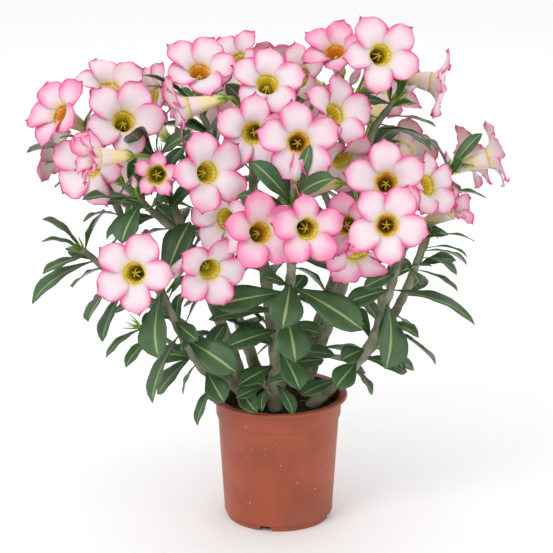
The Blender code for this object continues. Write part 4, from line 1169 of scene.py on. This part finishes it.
def flower_trim(name, matrix, finishes):
    """Five sepals around the foot and five feathery stamens in the throat."""
    trim = []
    for index in range(PETALS):
        angle = math.tau * (index + 0.5) / PETALS
        out = Vector((math.cos(angle), math.sin(angle), 0.0))
        low = Vector((0.0, 0.0, -TUBE_LENGTH))
        sepal = [low + out * 0.0014, low + out * 0.0052 + Vector((0, 0, 0.004)),
                 low + out * 0.0062 + Vector((0, 0, 0.0085))]
        trim.append(tube(name + "_sepal_%d" % index, [matrix @ place for place in sepal],
                         0.0016, 0.0004, finishes["green"], sides=1))
        stamen = [out * 0.0046 - Vector((0, 0, 0.016)), out * 0.0030 - Vector((0, 0, 0.009)),
                  out * 0.0006 - Vector((0, 0, 0.003))]
        trim.append(tube(name + "_stamen_%d" % index, [matrix @ place for place in stamen],
                         0.0011, 0.0003, finishes["stamen"], sides=1))
    return trim


# ---------------------------------------------------------------- pot and soil

def pot_profile():
    """Corners of the pot's turned section, from the floor's middle to the underside's."""
    profile = list(POT_INSIDE)
    for index in range(LIP_STEPS + 1):
        angle = math.pi * (0.5 - index / LIP_STEPS * 1.05)
        profile.append((LIP_CENTRE[0] + LIP_WIDTH * math.cos(angle),
                        LIP_CENTRE[1] + LIP_HEIGHT * math.sin(angle)))
    return profile + list(POT_OUTSIDE)


def pot_cutters():
    """The shapes that cut the drain holes and the notches of the foot ring."""
    cutters = []
    for index in range(DRAIN_HOLES):
        angle = math.tau * (index + 0.5) / DRAIN_HOLES
        place = (DRAIN_RING * math.cos(angle), DRAIN_RING * math.sin(angle), 0.0)
        bpy.ops.mesh.primitive_cylinder_add(vertices=24, radius=DRAIN_RADIUS, depth=0.02,
                                            location=place, rotation=(0.0, 0.0, angle + DRAIN_TURN))
        cutters.append(bpy.context.object)
    for index in range(FOOT_NOTCHES):
        angle = FIRST_NOTCH + math.tau * index / FOOT_NOTCHES
        bpy.ops.mesh.primitive_cone_add(vertices=4, radius1=NOTCH_RADII[0], radius2=NOTCH_RADII[1],
                                        depth=NOTCH_DEPTH)
        notch = bpy.context.object
        notch.rotation_euler = (0.0, 0.0, angle + math.pi / 4)
        notch.location = (FOOT_RING * math.cos(angle), FOOT_RING * math.sin(angle), 0.0)
        cutters.append(notch)
    return cutters


def make_pot_piece(material):
    """The turned pot, with a rolled rim, a shoulder line, a foot ring, notches and drain holes."""
    profile = pot_profile()
    mesh = bpy.data.meshes.new("pot_shell")
    mesh.from_pydata([(radius, 0.0, height) for radius, height in profile],
                     [(index, index + 1) for index in range(len(profile) - 1)], [])
    mesh.materials.append(material)
    pot = new_piece("pot_shell", mesh)
    screw = pot.modifiers.new("Turn", "SCREW")
    screw.steps = screw.render_steps = 120
    screw.use_merge_vertices = True
    screw.merge_threshold = 0.00005
    cutters = pot_cutters()
    bpy.context.view_layer.update()
    for cutter in cutters:
        cut = pot.modifiers.new("Cut", "BOOLEAN")
        cut.operation = "DIFFERENCE"
        cut.object = cutter
    bake_modifiers(pot)
    for cutter in cutters:
        bpy.data.objects.remove(cutter)
    pot.data.shade_smooth()
    pot.data.set_sharp_from_angle(angle=math.radians(32))
    return pot


def soil_height(x, y):
    """Height of the mounded, uneven soil at a place."""
    distance = math.hypot(x, y)
    mound = 0.1252 - 0.0060 * (distance / 0.059) ** 2
    return mound + 0.0016 * math.sin(x * 310 + 1) * math.sin(y * 290) + 0.0010 * math.sin(x * 820 + y * 700)


def make_soil_piece(material):
    """The soil as a rough-topped plug."""
    bm = bmesh.new()
    bmesh.ops.create_grid(bm, x_segments=90, y_segments=16, size=1.0)
    for vertex in bm.verts:
        angle = (vertex.co.x + 1) * math.pi
        t = (vertex.co.y + 1) / 2
        if t < 0.75:
            radius = SOIL_RADIUS * t / 0.75
            x, y = radius * math.cos(angle), radius * math.sin(angle)
            vertex.co = (x, y, soil_height(x, y))
        else:
            down = (t - 0.75) / 0.25
            radius = SOIL_RADIUS - 0.006 * down if down < 0.99 else 0.0
            depth = 0.112 * min(down * 1.1, 1.0)
            vertex.co = (radius * math.cos(angle), radius * math.sin(angle), 0.118 - depth)
    bmesh.ops.remove_doubles(bm, verts=bm.verts, dist=WELD)
    bmesh.ops.recalc_face_normals(bm, faces=bm.faces)
    mesh = bpy.data.meshes.new("soil_plug")
    bm.to_mesh(mesh)
    bm.free()
    mesh.materials.append(material)
    mesh.shade_smooth()
    return new_piece("soil_plug", mesh)


def scatter_tree(name, shape, seed, material):
    """Instances of a small shape scattered over a surface."""
    tree, start, end = new_tree(name, (("Density", "NodeSocketFloat", 20000.0),
                                       ("Seed", "NodeSocketInt", seed)))
    link = tree.links.new
    scatter = tree.nodes.new("GeometryNodeDistributePointsOnFaces")
    link(start.outputs["Geometry"], scatter.inputs["Mesh"])
    link(start.outputs["Density"], scatter.inputs["Density"])
    link(start.outputs["Seed"], scatter.inputs["Seed"])
    copies = tree.nodes.new("GeometryNodeInstanceOnPoints")
    link(scatter.outputs["Points"], copies.inputs["Points"])
    link(shape(tree), copies.inputs["Instance"])
    for socket, low, high in (("Rotation", (0.0, 0.0, 0.0), (6.3, 6.3, 6.3)),
                              ("Scale", (0.4, 0.4, 0.4), (1.3, 1.3, 1.3))):
        value = tree.nodes.new("FunctionNodeRandomValue")
        value.data_type = "FLOAT_VECTOR"
        value.inputs[0].default_value = low
        value.inputs[1].default_value = high
        link(value.outputs[0], copies.inputs[socket])
    real = tree.nodes.new("GeometryNodeRealizeInstances")
    link(copies.outputs[0], real.inputs[0])
    paint = tree.nodes.new("GeometryNodeSetMaterial")
    paint.inputs["Material"].default_value = material
    link(real.outputs[0], paint.inputs["Geometry"])
    link(paint.outputs[0], end.inputs[0])
    return tree


def crumb_shape(tree):
    """A small stone-like crumb."""
    stone = tree.nodes.new("GeometryNodeMeshIcoSphere")
    stone.inputs["Radius"].default_value = 0.0013
    stone.inputs["Subdivisions"].default_value = 1
    return stone.outputs["Mesh"]


def fibre_shape(tree):
    """A thin bent root fibre."""
    arc = tree.nodes.new("GeometryNodeCurveArc")
    arc.inputs["Resolution"].default_value = 7
    arc.inputs["Radius"].default_value = 0.008
    arc.inputs["Sweep Angle"].default_value = 1.4
    ring = tree.nodes.new("GeometryNodeCurvePrimitiveCircle")
    ring.inputs["Resolution"].default_value = 5
    ring.inputs["Radius"].default_value = 0.00028
    sweep = tree.nodes.new("GeometryNodeCurveToMesh")
    sweep.inputs["Fill Caps"].default_value = True
    tree.links.new(arc.outputs[0], sweep.inputs["Curve"])
    tree.links.new(ring.outputs[0], sweep.inputs["Profile Curve"])
    return sweep.outputs[0]


def soil_cover(name, inner, outer):
    """A ring of the soil's top to scatter on."""
    bm = bmesh.new()
    bmesh.ops.create_grid(bm, x_segments=60, y_segments=8, size=1.0)
    for vertex in bm.verts:
        angle = (vertex.co.x + 1) * math.pi
        radius = inner + (outer - inner) * (vertex.co.y + 1) / 2
        x, y = radius * math.cos(angle), radius * math.sin(angle)
        vertex.co = (x, y, soil_height(x, y))
    bmesh.ops.remove_doubles(bm, verts=bm.verts, dist=WELD)
    mesh = bpy.data.meshes.new(name)
    bm.to_mesh(mesh)
    bm.free()
    return new_piece(name, mesh)


# ---------------------------------------------------------------- properties and operators

def colour(name, description, value):
    """A colour property with its default."""
    return bpy.props.FloatVectorProperty(name=name, description=description, subtype="COLOR",
                                         size=3, min=0.0, max=1.0, default=value)


class DesertRoseColours(bpy.types.PropertyGroup):
    leaf_dark: colour("Leaf, dark", "Darkest green of the old leaves", (0.006, 0.034, 0.010))
    leaf_mid: colour("Leaf, middle", "Middle green of the old leaves", (0.012, 0.056, 0.012))
    leaf_young: colour("Leaf, young", "Fresh green of the youngest leaves", (0.085, 0.26, 0.018))
    leaf_vein: colour("Leaf veins", "Thin side veins and margin", (0.10, 0.22, 0.05))
    leaf_rib: colour("Leaf rib", "Cream rib down the middle", (0.36, 0.46, 0.17))
    leaf_back: colour("Leaf underside", "Paler green under the leaf", (0.075, 0.16, 0.055))
    bark_light: colour("Bark, light", "Grey green of the bark", (0.30, 0.30, 0.20))
    bark_dark: colour("Bark, dark", "Darker patches of the bark", (0.12, 0.13, 0.075))
    sprout_light: colour("Sprout, light", "Bracts and sepals in the light", (0.30, 0.48, 0.04))
    sprout_dark: colour("Sprout, dark", "Bracts and sepals in the shade", (0.12, 0.26, 0.02))
    petal_white: colour("Petal, white", "Inner part of the petals", (0.80, 0.66, 0.71))
    petal_pink: colour("Petal, pink", "Blush towards the edge", (0.82, 0.24, 0.42))
    petal_margin: colour("Petal margin", "Strong pink at the very edge", (0.76, 0.07, 0.26))
    petal_glow: colour("Petal root", "Pale yellow where a petal meets the mouth", (0.78, 0.66, 0.12))
    throat_olive: colour("Throat, olive", "Olive yellow throat", (0.84, 0.74, 0.07))
    # Painted shade at the bottom of the throat: the olive throat colour made darker.
    throat_painted_shade: colour("Throat, deep", "Greenish bottom of the throat", (0.52, 0.46, 0.03))
    throat_orange: colour("Throat, orange", "Warm orange throat", (0.86, 0.34, 0.03))
    throat_line: colour("Throat lines", "Fine reddish lines in the throat", (0.45, 0.09, 0.03))
    tube_yellow: colour("Funnel, yellow", "Outside of the flower's funnel", (0.76, 0.66, 0.30))
    tube_green: colour("Funnel, green", "Foot of the funnel", (0.42, 0.48, 0.08))
    pot_colour: colour("Pot", "Orange brown plastic", (0.36, 0.070, 0.026))
    pot_dark: colour("Pot, dark", "Darker smudges on the pot", (0.27, 0.050, 0.020))
    pot_dust: colour("Pot dust", "Grey brown dust on the pot", (0.26, 0.13, 0.085))
    soil_dark: colour("Soil, dark", "Dark potting soil", (0.012, 0.007, 0.004))
    soil_light: colour("Soil, light", "Drier crumbs of soil", (0.060, 0.034, 0.020))


class DesertRoseSizes(bpy.types.PropertyGroup):
    leaf_fold: bpy.props.FloatProperty(name="Leaf fold", default=0.22, min=0.0, max=1.0,
                                       description="Rise of a leaf's edges against its width")
    leaf_wave: bpy.props.FloatProperty(name="Leaf wave", description="Height of the ripples on a leaf's edge",
                                       default=0.0007, unit="LENGTH")
    crumb_density: bpy.props.FloatProperty(name="Crumbs", description="Soil crumbs on a square metre",
                                           default=110000.0)
    fibre_density: bpy.props.FloatProperty(name="Fibres", description="Root fibres on a square metre",
                                           default=9000.0)


class DESERTROSE_OT_pot(bpy.types.Operator):
    """Make the plastic pot"""
    bl_idname = "desertrose.pot"
    bl_label = "Pot"

    def execute(self, context):
        pot = make_pot_piece(pot_material(context.scene.desert_rose_colours))
        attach(pot, BODY)
        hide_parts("pot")
        return {"FINISHED"}


class DESERTROSE_OT_soil(bpy.types.Operator):
    """Make the soil with its crumbs and root fibres"""
    bl_idname = "desertrose.soil"
    bl_label = "Soil"

    def execute(self, context):
        colours = context.scene.desert_rose_colours
        sizes = context.scene.desert_rose_sizes
        plug = make_soil_piece(soil_material(colours))
        crumbs = soil_cover("soil_crumbs", 0.002, 0.0580)
        crumb_paint = soil_material(colours, "soil_crumbs")
        run_tree(crumbs, scatter_tree("soil_crumbs", crumb_shape, 3, crumb_paint),
                 {"Density": sizes.crumb_density})
        fibres = soil_cover("root_fibres", 0.006, 0.0510)
        fibre_paint = soil_material(colours, "root_fibres", True)
        run_tree(fibres, scatter_tree("root_fibres", fibre_shape, 8, fibre_paint),
                 {"Density": sizes.fibre_density})
        for piece in (plug, crumbs, fibres):
            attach(piece, BODY)
        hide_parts("soil")
        return {"FINISHED"}


class DESERTROSE_OT_branches(bpy.types.Operator):
    """Make every branch with its bark, leaves and tip sprouts"""
    bl_idname = "desertrose.branches"
    bl_label = "Branches"

    def execute(self, context):
        colours = context.scene.desert_rose_colours
        sizes = context.scene.desert_rose_sizes
        bark = bark_material(colours)
        green = young_green_material(colours)
        back = leaf_back_material(colours)
        tree = leaf_tree(leaf_material(colours))
        rng = random.Random(5)
        for branch in sorted({row[0] for row in TWIGS.values()}):
            wood = make_wood(branch, bark, green)
            leaves = make_leaves(branch, tree, back, sizes, rng)
            for piece in (wood, leaves):
                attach(piece, BODY)
            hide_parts(branch)
        return {"FINISHED"}


class DESERTROSE_OT_flowers(bpy.types.Operator):
    """Make every flower and bud"""
    bl_idname = "desertrose.flowers"
    bl_label = "Flowers"

    def execute(self, context):
        colours = context.scene.desert_rose_colours
        finishes = {"petal": petal_material(colours), "tube": tube_material(colours),
                    "throat": throat_material(colours), "green": young_green_material(colours),
                    "stamen": stamen_material(colours)}
        for number in range(1, len(FLOWERS) + 1):
            flower = make_flower(number, finishes)
            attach(flower, BODY)
            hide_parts("flower_%02d" % number)
        for index in range(len(BUDS)):
            bud = make_bud_piece(index, finishes["green"], finishes["petal"])
            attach(bud, BODY)
        return {"FINISHED"}


class DESERTROSE_OT_stage(bpy.types.Operator):
    """Set the camera, the soft studio light and the pale floor"""
    bl_idname = "desertrose.stage"
    bl_label = "Stage"

    def execute(self, context):
        bpy.ops.mesh.primitive_plane_add(size=14.0, location=(0.0, 0.0, 0.0))
        floor = bpy.context.object
        floor.name = "studio_floor"
        paper = Surface("studio_floor", 0.9)
        paper.fix("Base Color", (0.93, 0.93, 0.93, 1.0))
        floor.data.materials.append(paper.material)
        world = bpy.data.worlds.new("studio")
        world.use_nodes = True
        world.node_tree.nodes["Background"].inputs[0].default_value = (1.0, 1.0, 1.0, 1.0)
        world.node_tree.nodes["Background"].inputs[1].default_value = 1.0
        bpy.context.scene.world = world
        for name, place, size, power in LAMPS:
            light = bpy.data.lights.new(name, "AREA")
            light.size = size
            light.energy = power
            lamp = new_piece(name, light)
            lamp.location = place
            aim = Vector((0.0, 0.0, 0.28)) - Vector(place)
            lamp.rotation_euler = aim.to_track_quat("-Z", "Y").to_euler()
        lens = bpy.data.cameras.new("camera")
        lens.lens = 130.6
        lens.sensor_width = 36.0
        lens.clip_end = 30.0
        camera = new_piece("camera", lens)
        camera.location = (CAMERA_TARGET[0], -CAMERA_DISTANCE * math.cos(CAMERA_TILT),
                           CAMERA_TARGET[1] + CAMERA_DISTANCE * math.sin(CAMERA_TILT))
        camera.rotation_euler = (math.pi / 2 - CAMERA_TILT, 0.0, 0.0)
        bpy.context.scene.camera = camera
        bpy.context.scene.view_settings.view_transform = "Standard"
        return {"FINISHED"}


OPERATORS = (DESERTROSE_OT_pot, DESERTROSE_OT_soil, DESERTROSE_OT_branches, DESERTROSE_OT_flowers,
             DESERTROSE_OT_stage)


class DESERTROSE_PT_panel(bpy.types.Panel):
    """Buttons for each part of the desert rose"""
    bl_idname = "DESERTROSE_PT_panel"
    bl_label = "Desert rose"
    bl_space_type = "VIEW_3D"
    bl_region_type = "UI"
    bl_category = "Desert rose"

    def draw(self, context):
        for operator in OPERATORS:
            self.layout.operator(operator.bl_idname)
        for group in (context.scene.desert_rose_colours, context.scene.desert_rose_sizes):
            for name in group.bl_rna.properties.keys():
                if name not in ("rna_type", "name"):
                    self.layout.prop(group, name)


CLASSES = (DesertRoseColours, DesertRoseSizes, *OPERATORS, DESERTROSE_PT_panel)


def register():
    for cls in CLASSES:
        bpy.utils.register_class(cls)
    bpy.types.Scene.desert_rose_colours = bpy.props.PointerProperty(type=DesertRoseColours)
    bpy.types.Scene.desert_rose_sizes = bpy.props.PointerProperty(type=DesertRoseSizes)


def unregister():
    del bpy.types.Scene.desert_rose_sizes
    del bpy.types.Scene.desert_rose_colours
    for cls in reversed(CLASSES):
        bpy.utils.unregister_class(cls)


def main():
    register()
    bpy.ops.desertrose.stage()
    bpy.ops.desertrose.pot()
    bpy.ops.desertrose.soil()
    bpy.ops.desertrose.branches()
    bpy.ops.desertrose.flowers()


if __name__ == "__main__":
    main()
